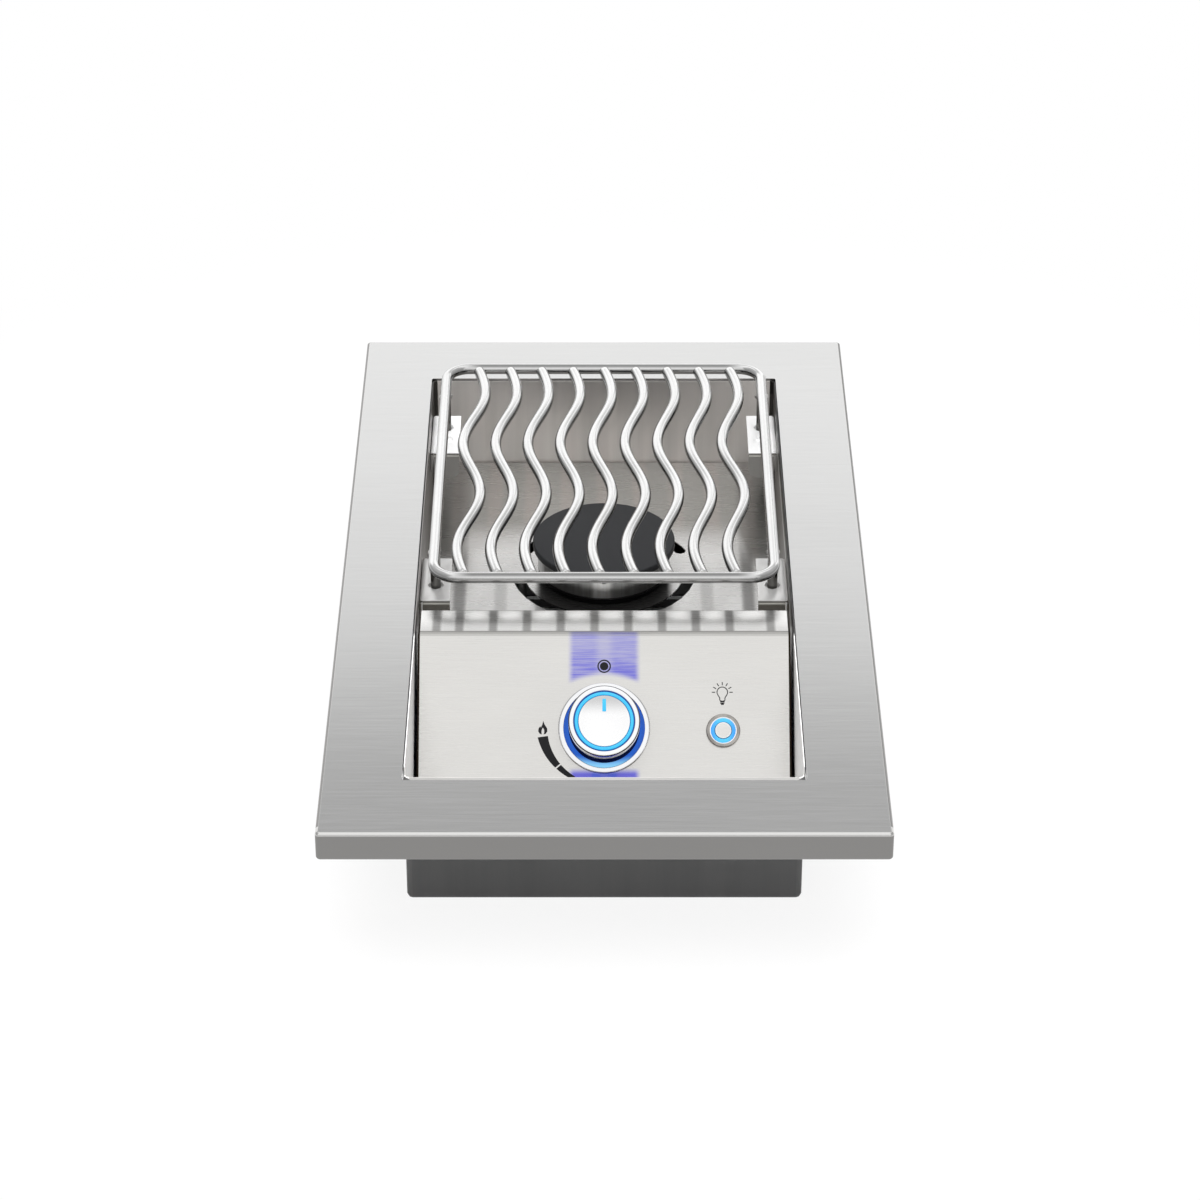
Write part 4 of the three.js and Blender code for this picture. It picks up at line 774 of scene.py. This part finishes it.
def roundedEdges(bm, halfX, halfY, radius, height):  # edges of a rectangle with rounded corners
    known = set(bm.faces)
    sides = ((1, 1), (-1, 1), (-1, -1), (1, -1))
    corners = [bm.verts.new((x * halfX, y * halfY, height)) for x, y in sides]
    bm.faces.new(corners)
    bmesh.ops.bevel(
        bm, geom=corners, affect="VERTICES", offset=radius, offset_type="OFFSET",
        segments=trim["cornerSteps"], profile=0.5, material=-1,
    )
    sheet = [f for f in bm.faces if f not in known]
    edges = [e for f in sheet for e in f.edges]
    bmesh.ops.delete(bm, geom=sheet, context="FACES_ONLY")
    return edges


def makeTrim():
    half = trim["sheet"] / 2
    bend, hold, steps = trim["bend"] + half, trim["hold"], trim["bendSteps"]
    hemZ = trim["top"] - trim["skirt"] + half
    topZ = trim["top"] - half
    outer = [(trim["hem"], hemZ)]
    outer += arcPoints(half + bend, hemZ + bend, bend, 3 * quarter, 2 * quarter, steps)
    outer += [(half, hemZ + bend + hold), (half, topZ - bend - hold)]
    outer += arcPoints(half + bend, topZ - bend, bend, 2 * quarter, quarter, steps)
    outer.append((half + bend + hold, topZ))
    inner = [(half + trim["openingRim"], topZ), (half, topZ), (half, trim["top"] - trim["lip"])]
    loops = []
    for inset, z in outer:
        radius = trim["corner"] ** 2 / (trim["corner"] + inset)
        loops.append((trim["width"] / 2 - inset, trim["depth"] / 2 - inset, radius, z))
    for outset, z in inner:
        halfX, halfY = trim["openingWidth"] / 2 + outset, trim["openingDepth"] / 2 + outset
        loops.append((halfX, halfY, trim["openingCorner"] + outset, z))
    bm = bmesh.new()
    previous = None
    for loop in loops:
        edges = roundedEdges(bm, *loop)
        if previous:
            bmesh.ops.bridge_loops(bm, edges=previous + edges)
        previous = edges
    piece = finishPiece("trimShell", bm, ["trimSteel"], "casing", ["trim_frame"], 35, Matrix.Scale(mm, 4))
    setAll(
        piece.modifiers.new("sheet", "SOLIDIFY"), thickness=trim["sheet"] * mm, offset=0,
        use_even_offset=True,
    )
    setAll(
        piece.modifiers.new("fineFold", "BEVEL"), width=trim["openingBend"] * mm, segments=2,
        limit_method="ANGLE", angle_limit=math.radians(trim["foldAngle"]),
    )
    piece.modifiers.new("evenShading", "WEIGHTED_NORMAL").keep_sharp = True


makeTrim()
print("trim frame made")


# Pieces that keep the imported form, with merged faces, smooth bends and softened edges

corners = [(end, side) for end in ("front", "rear") for side in ("left", "right")]
kept = {  # by finish: node, piece and width of the soft edge
    "casingSteel": [("casing_shell", "casingBox", 0.25)],
    "panSteel": [("burner_pan", "burnerPan", 0.25)],
    "panelSteel": [("control_panel", "controlPanel", 0.2)],
    "bracketSteel": [
        (f"grate_bracket_{end}_{side}", f"shelf{end.title()}{side.title()}", 0.25) for end, side in corners
    ],
    "zincSteel": [
        ("venturi_tube", "mixingTube", 0.2), ("air_shutter", "airShutter", 0.2),
        ("valve_bridge", "valveBridge", 0.2), ("valve_stem", "valveStem", 0.2),
        ("stem_collar", "stemCollar", 0.15), ("valve_spring", "valveSpring", 0),
        ("gas_inlet_pipe", "gasPipe", 0),
        ("bezel_screw_left", "bezelScrewLeft", 0.15), ("bezel_screw_right", "bezelScrewRight", 0.15),
        ("burner_screw_left", "burnerScrewLeft", 0.15), ("burner_screw_right", "burnerScrewRight", 0.15),
        ("switch_nut", "switchNut", 0.25), ("electrode_plate", "electrodePlate", 0.2),
        ("igniter_electrode", "igniterElectrode", 0),
    ],
    "brass": [
        ("gas_valve", "gasValve", 0.3), ("injector", "gasJet", 0.2), ("inlet_fitting", "inletFitting", 0.3),
        ("inlet_nut", "inletNut", 0.3),
    ],
    "ceramic": [("electrode_insulator", "electrodeInsulator", 0.2)],
    "modulePlastic": [("spark_module", "sparkModule", 0.5)],
}
keeping = {"join": 0.002, "flatAngle": 0.6, "smoothAngle": 50, "edgeAngle": 55, "knobTravel": 3.5}


def keepForm(finishName, nodeName, pieceName, edge):
    node = nodes[nodeName]
    bm = bmesh.new()
    bm.from_mesh(node.data)
    bmesh.ops.remove_doubles(bm, verts=bm.verts, dist=keeping["join"] * mm)
    bmesh.ops.dissolve_limit(
        bm, angle_limit=math.radians(keeping["flatAngle"]), verts=bm.verts, edges=bm.edges,
    )
    for face in bm.faces:
        face.material_index = 0
    body = body_of(node)[0]
    piece = finishPiece(pieceName, bm, [finishName], body, [nodeName], keeping["smoothAngle"])
    if edge:
        setAll(
            piece.modifiers.new("softEdges", "BEVEL"), width=edge * mm, segments=2, limit_method="ANGLE",
            angle_limit=math.radians(keeping["edgeAngle"]), harden_normals=True,
        )
    return piece


def letSpringGive(spring):  # gives the coil its own copy of the mesh; the axis of the knob's push is worked out but not used
    axis = panelFrame.to_3x3() @ Vector((0, 0, 1))
    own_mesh(spring)


for finishName, rows in kept.items():
    for nodeName, pieceName, edge in rows:
        piece = keepForm(finishName, nodeName, pieceName, edge)
        if nodeName == "valve_spring":
            letSpringGive(piece)
print("packed forms dressed:", sum(len(rows) for rows in kept.values()))


# Grate: a bent rod ring with nine swaying rods welded across it, on four legs

grate = {
    "leg": 3.5, "ringRod": 3.85, "ringDrop": 0.35, "bar": 3.95, "barDrop": 0.4, "height": 118, "halfX": 114.9,
    "front": -43.4, "rear": 247.9, "corner": 17, "pitch": 22.98, "rods": 9, "sway": 7, "swayOffset": -1.1,
    "endRun": 39, "endTurn": 86, "halfWaves": 3, "points": 90, "frontInset": 3.1, "rearInset": 3.9,
    "endRound": 1.3, "legs": {"front": -6.7, "rear": 210.9}, "foot": 86.8, "footChamfer": 0.8, "fineness": 6,
}
beads = {
    "radius": 3.92, "grain": 0.8, "wobble": 0.16, "apart": 7.3, "rear": (-1, (0.95, 0.6, 0.62)),
    "front": (-0.2, (1.1, 0.55, 0.8)), "leg": (-3.2, (1.25, 1.3, 0.7)),
}
rodPlaces = [grate["pitch"] * (number - (grate["rods"] - 1) / 2) for number in range(grate["rods"])]


def rodMesh(name, points, radius, closed=False):  # a round rod along a row of points, in metres
    curve, spline = newCurve(name, "POLY", radius * mm, grate["fineness"], closed)
    spline.points.add(len(points) - 1)
    for point, (x, y, z) in zip(spline.points, points):
        point.co = (x * mm, y * mm, z * mm, 1)
    spline.use_cyclic_u = closed
    return meshed(curve, 0.00001)


def swayAt(distance):
    turn, end = math.radians(grate["endTurn"]), grate["endRun"]
    run = grate["rear"] - grate["front"] - 2 * end
    if distance < end:
        share = math.cos(turn * (1 - distance / end))
    elif distance < end + run:
        share = math.cos(math.pi * grate["halfWaves"] * (distance - end) / run)
    else:
        share = -math.cos(turn * (distance - end - run) / end)
    return grate["swayOffset"] + grate["sway"] * share


def makeRing():
    points = []
    halfX, front, rear, corner = grate["halfX"], grate["front"], grate["rear"], grate["corner"]
    sides = ((halfX, rear), (-halfX, rear), (-halfX, front), (halfX, front))
    for turns, (x, y) in enumerate(sides):
        centreX = x - math.copysign(corner, x)
        centreY = y - math.copysign(corner, y)
        bend = arcPoints(centreX, centreY, corner, turns * quarter, (turns + 1) * quarter, 12)
        points += [(u, v, grate["height"] - grate["ringDrop"]) for u, v in bend]
    bm = rodMesh("grateRing", points, grate["ringRod"], closed=True)
    finishPiece("grateRing", bm, ["rodSteel"], "grate", ["grate_ring"], 60)


def makeRods():
    run = grate["rear"] - grate["front"] - grate["frontInset"] - grate["rearInset"]
    steps = [grate["rearInset"] + run * k / grate["points"] for k in range(grate["points"] + 1)]
    for number, x in enumerate(rodPlaces, 1):
        points = [(x + swayAt(d), grate["rear"] - d, grate["height"] - grate["barDrop"]) for d in steps]
        bm = softened(rodMesh("rod", points, grate["bar"]), grate["endRound"] * mm, 4, 60)
        finishPiece(f"grateRod{number}", bm, ["rodSteel"], "grate", [f"grate_bar_{number}"], 60)


def makeLegs():
    rod, foot, chamfer, top = grate["leg"], grate["foot"], grate["footChamfer"], grate["height"]
    profile = [(0, foot), (rod - chamfer, foot), (rod, foot + chamfer), (rod, top), (0, top)]
    for end, side in corners:
        place = placed(grate["halfX"] * (1 if side == "right" else -1), grate["legs"][end], 0)
        name = f"grateLeg{end.title()}{side.title()}"
        bm = spun(profile, 24, closed=False)
        finishPiece(name, bm, ["legSteel"], "grate", [f"grate_leg_{end}_{side}"], matrix=place)


def makeBeads():  # a small uneven bead of weld where each rod and leg meets the ring
    rear, front = grate["rear"] - grate["rearInset"], grate["front"] + grate["frontInset"]
    spots = []
    for x in rodPlaces:
        spots.append((x + swayAt(grate["rearInset"]), rear, beads["rear"]))
        spots.append((x + swayAt(grate["rear"] - front), front, beads["front"]))
    spots += [(side * grate["halfX"], y, beads["leg"]) for y in grate["legs"].values() for side in (-1, 1)]
    bm = bmesh.new()
    for number, (x, y, (rise, stretch)) in enumerate(spots):
        made = bmesh.ops.create_icosphere(bm, subdivisions=3, radius=beads["radius"])["verts"]
        for vert in made:
            wobble = noise.noise(vert.co * beads["grain"] + Vector((number * beads["apart"], 0, 0)))
            vert.co *= 1 + beads["wobble"] * wobble
        bmesh.ops.scale(bm, vec=stretch, verts=made)
        bmesh.ops.translate(bm, vec=(x, y, grate["height"] + rise), verts=made)
    finishPiece("weldBeads", bm, ["weldSteel"], "grate", (), 80, Matrix.Scale(mm, 4))


makeRing()
makeRods()
makeLegs()
makeBeads()
print("grate made")


# Burner: cast base, ported ring and a lift-off cap

burner = {
    "pan": 33, "gap": 0.3, "ringR": 47, "ringWall": 3, "ringZ": 39.3, "ringTop": 54.6, "ringEdge": 0.25,
    "ports": 30, "portDepth": 3.2, "capR": 50.4, "capZ": 54.9, "capThick": 5.2, "capEdge": 1.2,
    "capFine": 0.5, "spigotR": 43.4, "spigotWall": 2.5, "spigotDrop": 2.6, "footR": 45, "footThick": 2.6,
    "shoulder": 5.7, "spigotRise": 5, "baseWall": 2.6, "baseEdge": 0.4, "bowl": 3.4, "throatR": 10,
    "throatWall": 1.6, "throatZ": 30.2, "nearRim": 1,
}
burnerMatrix = placed(0, burnerPlace, 0)


def makeBase():
    wall, throat = burner["baseWall"], burner["throatR"]
    outerThroat = throat + burner["throatWall"]
    foot = burner["pan"] + burner["gap"]
    shoulder = foot + burner["shoulder"]
    rise = shoulder + burner["spigotRise"]
    spigot = burner["ringR"] - burner["ringWall"] - burner["gap"]
    bm = spun([
        (throat, burner["throatZ"]), (outerThroat, burner["throatZ"]), (outerThroat, foot),
        (burner["footR"], foot), (burner["footR"], foot + burner["footThick"]),
        (burner["ringR"], shoulder - wall / 2), (burner["ringR"], shoulder), (spigot, shoulder),
        (spigot, rise), (spigot - wall, rise), (spigot - wall, shoulder),
        (burner["footR"] - wall, foot + burner["bowl"]), (throat, foot + burner["bowl"]),
    ], 72)
    softened(bm, burner["baseEdge"], 2)
    finishPiece("burnerBase", bm, ["baseCasting"], "casing", ["burner_base"], matrix=burnerMatrix)


def makeBurnerRing():
    portZ = burner["ringTop"] - burner["portDepth"]
    steps = burner["ports"] * 4
    step = 2 * math.pi / steps
    bm = tube(burner["ringR"] - burner["ringWall"], burner["ringR"], burner["ringZ"], portZ, steps)

    def isPost(face):  # every fourth face stays low as a flame port
        middle = face.calc_center_median()
        turn = math.atan2(middle.y, middle.x) % (2 * math.pi)
        return middle.z > portZ - 0.01 and int(turn / step) % 4 != 1

    raised(bm, [f for f in bm.faces if isPost(f)], burner["portDepth"])
    softened(bm, burner["ringEdge"], 2, 50)
    place = burnerMatrix @ Matrix.Rotation(step / 2, 4, "Z")
    finishPiece("portedRing", bm, ["burnerSteel"], "casing", ["burner_ring"], matrix=place)


def makeCap():
    low = burner["capZ"]
    top = low + burner["capThick"]
    outer = burner["spigotR"]
    inner = outer - burner["spigotWall"]
    bm = spun([
        (0, top), (burner["capR"], top), (burner["capR"], low), (outer, low),
        (outer, low - burner["spigotDrop"]), (inner, low - burner["spigotDrop"]),
        (inner, low + burner["capEdge"]), (0, low + burner["capEdge"]),
    ], 96, closed=False)

    def onTopRim(edge):
        place = edge.verts[0].co
        return place.xy.length > burner["capR"] - burner["nearRim"] and place.z > top - 0.1

    softened(bm, burner["capEdge"], 4, 30, onTopRim)
    softened(bm, burner["capFine"], 2, 60)
    finishPiece("burnerCap", bm, ["capEnamel"], "burner_cap", ["burner_cap"], matrix=burnerMatrix)


makeBase()
makeBurnerRing()
makeCap()
print("burner made")


# Knob: chrome cup with a lit ring round a silver face, in a lit bezel

knob = {
    "radius": 23.55, "lift": 1, "reach": 28, "edge": 1.1, "fineEdge": 0.25, "wall": 2.6, "recessR": 20.2,
    "recess": 2, "seatTop": 0.3, "hubR": 7, "hubLift": 2, "boreR": 4.45, "lightInner": 17.25,
    "lightOuter": 19.3, "lightZ": 26.3, "lightTop": 27.7, "lightEdge": 0.4, "faceR": 16.95, "faceEdge": 0.35,
    "dish": 0.9, "dishSteps": 12,
}
pointer = {"size": (2.4, 8.4, 0.5), "edge": 0.24, "out": 10.6, "sink": 0.35}
bezel = {
    "radius": 30.35, "bottom": 0.3, "rise": 1.8, "round": 1.1, "mouth": 26.7, "wellR": 22, "wellZ": -6,
    "holeR": 7, "wall": 1.5, "collarR": 27.115, "sheet": 1.2, "lightInner": 14.5, "lightOuter": 20.5,
    "lightZ": -5.7, "lightTop": -4.1, "lightEdge": 0.4, "holeMargin": 0.5, "mouthMargin": 0.05,
}
near = 0.1  # how close counts as lying on a rim or a floor


def makeKnob():
    radius, recessR, reach, hub = knob["radius"], knob["recessR"], knob["reach"], knob["hubLift"]
    recessZ = reach - knob["recess"]
    roof = recessZ - knob["wall"]
    inside = radius - knob["wall"]
    bm = spun([
        (0, recessZ), (recessR, recessZ), (recessR, reach), (radius, reach), (radius, knob["lift"]),
        (inside, knob["lift"]), (inside, roof), (knob["hubR"], roof), (knob["hubR"], hub),
        (knob["boreR"], hub), (knob["boreR"], roof), (0, roof),
    ], 96, closed=False)
    softened(bm, knob["edge"], 5, 50, lambda edge: edge.verts[0].co.xy.length > radius - near)
    softened(bm, knob["fineEdge"], 2, 60)
    for face in bm.faces:  # the seat of the light ring is dark, with a painted blue glow
        middle = face.calc_center_median()
        inSeat = recessZ - near < middle.z < reach - knob["seatTop"]
        face.material_index = int(inSeat and middle.xy.length < recessR + 0.02)
    finishPiece("knobCup", bm, ["knobChrome", "darkGasket"], "knob", ["knob_body"], matrix=panelScale)


def makeKnobLight():
    bm = tube(knob["lightInner"], knob["lightOuter"], knob["lightZ"], knob["lightTop"], 96)
    softened(bm, knob["lightEdge"], 3)
    finishPiece("knobLight", bm, ["cyanGlow"], "knob", ["knob_light_ring"], matrix=panelScale)


def domed(radius, low, top, dish, count, steps):  # a disc whose top dips or swells by dish
    crown = [(radius * k / count, top + dish * (k / count) ** 2) for k in range(count + 1)]
    return spun(crown + [(radius, low), (0, low)], steps, closed=False)


def makeKnobFace():
    middle = knob["lightTop"] - knob["dish"]
    bm = domed(knob["faceR"], knob["lightZ"], middle, knob["dish"], knob["dishSteps"], 96)
    softened(bm, knob["faceEdge"], 3, 50)
    finishPiece("knobFace", bm, ["domeSilver"], "knob", ["knob_face"], matrix=panelScale)


def makePointer():  # a plain bar on the face that shows where the knob stands
    bm = bmesh.new()
    bmesh.ops.create_cube(bm, size=1)
    bmesh.ops.scale(bm, vec=pointer["size"], verts=bm.verts)
    softened(bm, pointer["edge"], 3, 60)
    bmesh.ops.translate(bm, vec=(0, pointer["out"], knob["lightTop"] - pointer["sink"]), verts=bm.verts)
    finishPiece("knobPointer", bm, ["cyanGlow"], "knob", matrix=panelScale)


def makeBezel():
    radius, rise, curlR, mouth = bezel["radius"], bezel["rise"], bezel["round"], bezel["mouth"]
    wellR, wellZ, holeR = bezel["wellR"], bezel["wellZ"], bezel["holeR"]
    bottom = wellZ - bezel["wall"]
    curl = arcPoints(radius - curlR, rise - curlR, curlR, 0, quarter, 6)
    bm = spun([(radius, bezel["bottom"])] + curl + [
        (mouth + curlR / 4, rise), (mouth, rise - curlR / 4), (wellR, wellZ), (holeR, wellZ), (holeR, bottom),
        (wellR + bezel["wall"] / 2, bottom), (bezel["collarR"], -bezel["sheet"]),
        (bezel["collarR"], bezel["bottom"]),
    ], 96)
    # the well's faces take the glowing coat, painted light from the bezel's ring
    for face in bm.faces:
        middle = face.calc_center_median()
        inWell = holeR + bezel["holeMargin"] < middle.xy.length < mouth - bezel["mouthMargin"]
        face.material_index = int(inWell and middle.z > wellZ - near)
    finishPiece("knobBezel", bm, ["chrome", "blueWell"], "casing", ["knob_bezel"], 30, panelScale)


def makeBezelLight():
    bm = tube(bezel["lightInner"], bezel["lightOuter"], bezel["lightZ"], bezel["lightTop"], 64)
    softened(bm, bezel["lightEdge"], 2)
    finishPiece("bezelLight", bm, ["blueGlow"], "casing", ["bezel_light_ring"], matrix=panelScale)


makeKnob()
makeKnobLight()
makeKnobFace()
makePointer()
makeBezel()
makeBezelLight()
print("knob made")


# Push-button light switch

switch = {
    "x": 78.5, "drop": 1.8, "radius": 11.2, "bottom": 0.3, "rim": 2.2, "rimEdge": 0.6, "brightR": 8.9,
    "recessR": 8.5, "recess": 1.4, "barrelR": 9.3, "barrelEnd": -22, "lightInner": 5.8, "lightOuter": 8.2,
    "lightLift": 0.3, "lightTop": 2.2, "lightEdge": 0.15, "buttonR": 5.5, "buttonZ": -4.4, "buttonTop": 2.6,
    "buttonEdge": 0.4, "crown": 0.08, "crownSteps": 8, "discR": 4.9, "gap": 0.3, "under": 1.9, "aboveFace": 1,
}
switchPlace = panelScale @ Matrix.Translation((switch["x"], -switch["drop"], 0))


def makeSwitch():
    recess, rim, radius = switch["recess"], switch["rim"], switch["radius"]
    boreR, boreZ = switch["buttonR"] + switch["gap"], switch["buttonZ"] - switch["under"]
    bm = spun([
        (boreR, recess), (switch["recessR"], recess), (switch["recessR"], rim), (switch["brightR"], rim),
        (radius, rim), (radius, switch["bottom"]), (switch["barrelR"], switch["bottom"]),
        (switch["barrelR"], switch["barrelEnd"]), (0, switch["barrelEnd"]), (0, boreZ), (boreR, boreZ),
    ], 64)

    def onRim(edge):
        place = edge.verts[0].co
        return place.xy.length > radius - near and place.z > switch["aboveFace"]

    softened(bm, switch["rimEdge"], 4, 50, onRim)
    for face in bm.faces:
        middle = face.calc_center_median()
        face.material_index = int(middle.xy.length < switch["brightR"] and middle.z > switch["aboveFace"])
    coats = ["switchSteel", "faceSilver"]
    finishPiece("switchHousing", bm, coats, "casing", ["switch_housing"], matrix=switchPlace)
    low = recess + switch["lightLift"]
    bm = tube(switch["lightInner"], switch["lightOuter"], low, switch["lightTop"], 64)
    softened(bm, switch["lightEdge"], 2)
    finishPiece("switchLight", bm, ["switchGlow"], "casing", ["switch_light_ring"], matrix=switchPlace)
    bm = domed(
        switch["buttonR"], switch["buttonZ"], switch["buttonTop"], -switch["crown"], switch["crownSteps"], 48,
    )
    softened(bm, switch["buttonEdge"], 3, 50)
    for face in bm.faces:
        face.material_index = int(face.calc_center_median().xy.length > switch["discR"])
    coats = ["buttonSteel", "faceSilver"]
    finishPiece("switchButton", bm, coats, "light_button", ["switch_button"], matrix=switchPlace)


makeSwitch()
print("switch made")


# Printed marks on the panel, each a thin raised layer of ink

marks = {
    "ink": 0.12, "offV": 41.6, "offInner": 3.6, "offOuter": 4.5, "offDot": 2.8, "dotSteps": 48,
    "flameX": -40.5,
    "flame": [(0.3, 4.9), (1.2, 2.5), (2.9, -0.2), (3.0, -2.2), (2.0, -3.7), (0.6, -4.2), (1.0, -2.6),
              (0.9, -1.2), (0.1, 0.5), (-0.6, -0.9), (-0.9, -2.6), (-0.6, -4.2), (-2.0, -3.7), (-3.0, -2.2),
              (-2.8, -0.2), (-1.6, 1.4), (-1.3, 0.3), (-0.4, 2.2)],
    "arcInner": 37.5, "arcOuter": [(188, 44.3), (204, 43), (219, 41.7), (221, 41.5), (230, 40.8), (239, 40.1),
                                   (241, 39.9), (255, 39.1), (270, 38.3)],
    "arcPieces": [(188, 219.3), (220.7, 239.4), (240.6, 270)], "arcSteps": 16, "bulbX": 78.1, "bulbV": 24.1,
    "bulb": [(0, 3.5), (2.45, 2.5), (3.5, 0), (2.7, -2.2), (1.75, -3.8), (1.55, -5.4), (-1.55, -5.4),
             (-1.75, -3.8), (-2.7, -2.2), (-3.5, 0), (-2.45, 2.5)],
    "line": 0.62, "base": [(-6.3, 1.5), (-7.3, 1.4), (-8.1, 0.9)], "baseLine": 0.806, "rays": 7,
    "rayTurn": 30, "rayNear": 4.7, "rayFar": 6.9,
}


def printMark(name, bm, x=0, y=0, flatter=1, sharp=40):
    place = panelScale @ Matrix.Translation((x, y, 0.01)) @ Matrix.Diagonal((1, 1, flatter, 1))
    finishPiece(name, bm, ["printBlack"], "casing", (), sharp, place)


def inkShape(name, outline):  # one filled flat outline, raised by the ink's thickness
    bm = bmesh.new()
    face = bm.faces.new([bm.verts.new((x, y, 0)) for x, y in outline])
    raised(bm, [face], marks["ink"], True)
    printMark(name, bm)


def inkLine(name, points, width, closed=False):  # a drawn line, pressed nearly flat; a closed one is smooth
    curve, spline = newCurve(name, "BEZIER", width / 2, 2, closed)
    curve.resolution_u = 6
    spline.bezier_points.add(len(points) - 1)
    for point, (x, y) in zip(spline.bezier_points, points):
        point.co = (x, y, 0)
        point.handle_left_type = point.handle_right_type = "AUTO" if closed else "VECTOR"
    spline.use_cyclic_u = closed
    printMark(name, meshed(curve, 0.002), flatter=marks["ink"] / width, sharp=60)


def outerAt(angle):  # the arc's outer radius
    stops = marks["arcOuter"]
    for (lowAngle, low), (highAngle, high) in zip(stops, stops[1:]):
        if angle <= highAngle:
            return low + (high - low) * (angle - lowAngle) / (highAngle - lowAngle)
    return stops[-1][1]


def onCircle(radius, angle, x=0, y=0):
    return x + radius * math.cos(math.radians(angle)), y + radius * math.sin(math.radians(angle))


def makeMarks():
    printMark("offRing", tube(marks["offInner"], marks["offOuter"], 0, marks["ink"], 64), 0, marks["offV"])
    steps = marks["dotSteps"]
    turn = 2 * math.pi * (steps - 1) / steps
    inkShape("offDot", arcPoints(0, marks["offV"], marks["offDot"], 0, turn, steps - 1))
    inkShape("flameMark", [(marks["flameX"] + u, v) for u, v in marks["flame"]])
    steps = marks["arcSteps"]
    for number, (start, end) in enumerate(marks["arcPieces"], 1):
        angles = [start + (end - start) * k / steps for k in range(steps + 1)]
        outside = [onCircle(outerAt(angle), angle) for angle in angles]
        inside = [onCircle(marks["arcInner"], angle) for angle in angles]
        inkShape(f"heatArc{number}", outside + inside[::-1])
    x, v = marks["bulbX"], marks["bulbV"]
    inkLine("bulbGlass", [(x + u, v + w) for u, w in marks["bulb"]], marks["line"], True)
    for number, (drop, half) in enumerate(marks["base"], 1):
        inkLine(f"bulbBase{number}", [(x - half, v + drop), (x + half, v + drop)], marks["baseLine"])
    for number in range(marks["rays"]):
        angle = marks["rayTurn"] * number
        ends = [onCircle(marks[end], angle, x, v) for end in ("rayNear", "rayFar")]
        inkLine(f"bulbRay{number + 1}", ends, marks["line"])


makeMarks()
print("marks made")


# Floor, world and lamp

studio = {
    "floor": (0.92, 0.92, 0.92), "floorR": 9, "speck": (40, 40, 40), "speckTone": 0.985, "floorRough": 0.8,
    "floorShine": 0.1, "fade": (0.30, 0.75, 0.88, 1), "underX": 0.124, "underY": 0.243, "under": (0.97, 1),
    "lampSize": 3.2, "lampPlace": (0, -0.2, 2.6), "lampPower": 110, "strength": 1.1,
    "back": [(0, 0.75), (0.1, 0.98), (0.29, 1.0), (0.486, 1.0), (0.500, 0.98), (0.512, 0.95), (0.531, 0.82),
             (0.553, 0.62), (0.575, 0.44), (0.64, 0.5), (0.78, 0.9), (1, 1.0)],
    "front": [(0, 0.3), (0.15, 0.5), (0.35, 0.82), (0.5, 0.88), (0.62, 0.9), (0.72, 0.96), (1, 1.0)],
    "frontToBack": (-0.1, 0.1), "side": (0.42, 0.42, 0.42), "sideTurn": (0.60, 0.85),
    "sideRise": (0.85, 0.98, 1, 0), "slatStart": (0.40, 0.43), "slatEnd": (0.49, 0.52, 1, 0),
    "slatRise": (0.5, 0.6, 0.45, 0),
}


def addFloor():  # white to the eye, but it shades and colours the underside like a real floor
    bm = bmesh.new()
    bmesh.ops.create_circle(bm, cap_ends=True, radius=studio["floorR"], segments=64)
    mesh = bpy.data.meshes.new("floor")
    bm.to_mesh(mesh)
    bm.free()
    floor = addObject("floor", mesh)
    material, inputs, place = newMaterial("paleFloor")
    speck = grain(place, studio["speck"], 3)
    feed(blended(speck, toned(studio["floor"], studio["speckTone"]), studio["floor"]), inputs["Base Color"])
    feed(studio["floorRough"], inputs["Roughness"])
    feed(studio["floorShine"], inputs["Specular IOR Level"])
    x, y, z = split(place)
    fade = spread(sums("SQRT", x * x + y * y), *studio["fade"])
    under = abs(x) / studio["underX"] | abs(y) / studio["underY"]
    tree = place.tree
    path = addNode(tree, "ShaderNodeLightPath").outputs
    direct, mirrored, through = [Field(path[f"Is {ray} Ray"]) for ray in ("Camera", "Glossy", "Transmission")]
    seen = sums("ADD", direct + mirrored, through, True)
    mixed = addNode(tree, "ShaderNodeMixShader")
    feed(fade * spread(under, *studio["under"]) * seen, mixed.inputs[0])
    feed(Field(tree.nodes["Principled BSDF"].outputs[0]), mixed.inputs[1])
    feed(Field(addNode(tree, "ShaderNodeEmission").outputs[0]), mixed.inputs[2])
    feed(Field(mixed.outputs[0]), tree.nodes["Material Output"].inputs["Surface"])
    mesh.materials.append(material)


def addWorld():  # a room that is bright above, darker at the sides, with one dark slat
    world = bpy.data.worlds.new("studio")
    bpy.context.scene.world = world
    world.use_nodes = True
    tree = world.node_tree
    x, y, z = split(Field(addNode(tree, "ShaderNodeTexCoord").outputs["Generated"]))
    turn = sums("ARCTAN2", abs(x), abs(y))
    aside = spread(turn, *studio["sideTurn"]) * spread(z, *studio["sideRise"])
    slat = spread(turn, *studio["slatStart"]) * spread(turn, *studio["slatEnd"]) * (x > 0)
    slat = slat * spread(z, *studio["slatRise"])
    front, back = ramped(z, studio["front"]), ramped(z, studio["back"])
    colour = blended(spread(y, *studio["frontToBack"]), front, back)
    colour = blended(aside, colour, studio["side"])
    colour = blended(slat, colour, (0, 0, 0))
    background = tree.nodes["Background"].inputs
    feed(colour, background["Color"])
    feed(studio["strength"], background["Strength"])


def addLamp():
    data = setAll(
        bpy.data.lights.new("softLamp", "AREA"), shape="DISK", size=studio["lampSize"],
        energy=studio["lampPower"],
    )
    setAll(addObject("softLamp", data), location=studio["lampPlace"], visible_glossy=False)


addFloor()
addWorld()
addLamp()
bpy.context.scene.view_settings.view_transform = "Standard"
print("studio set")
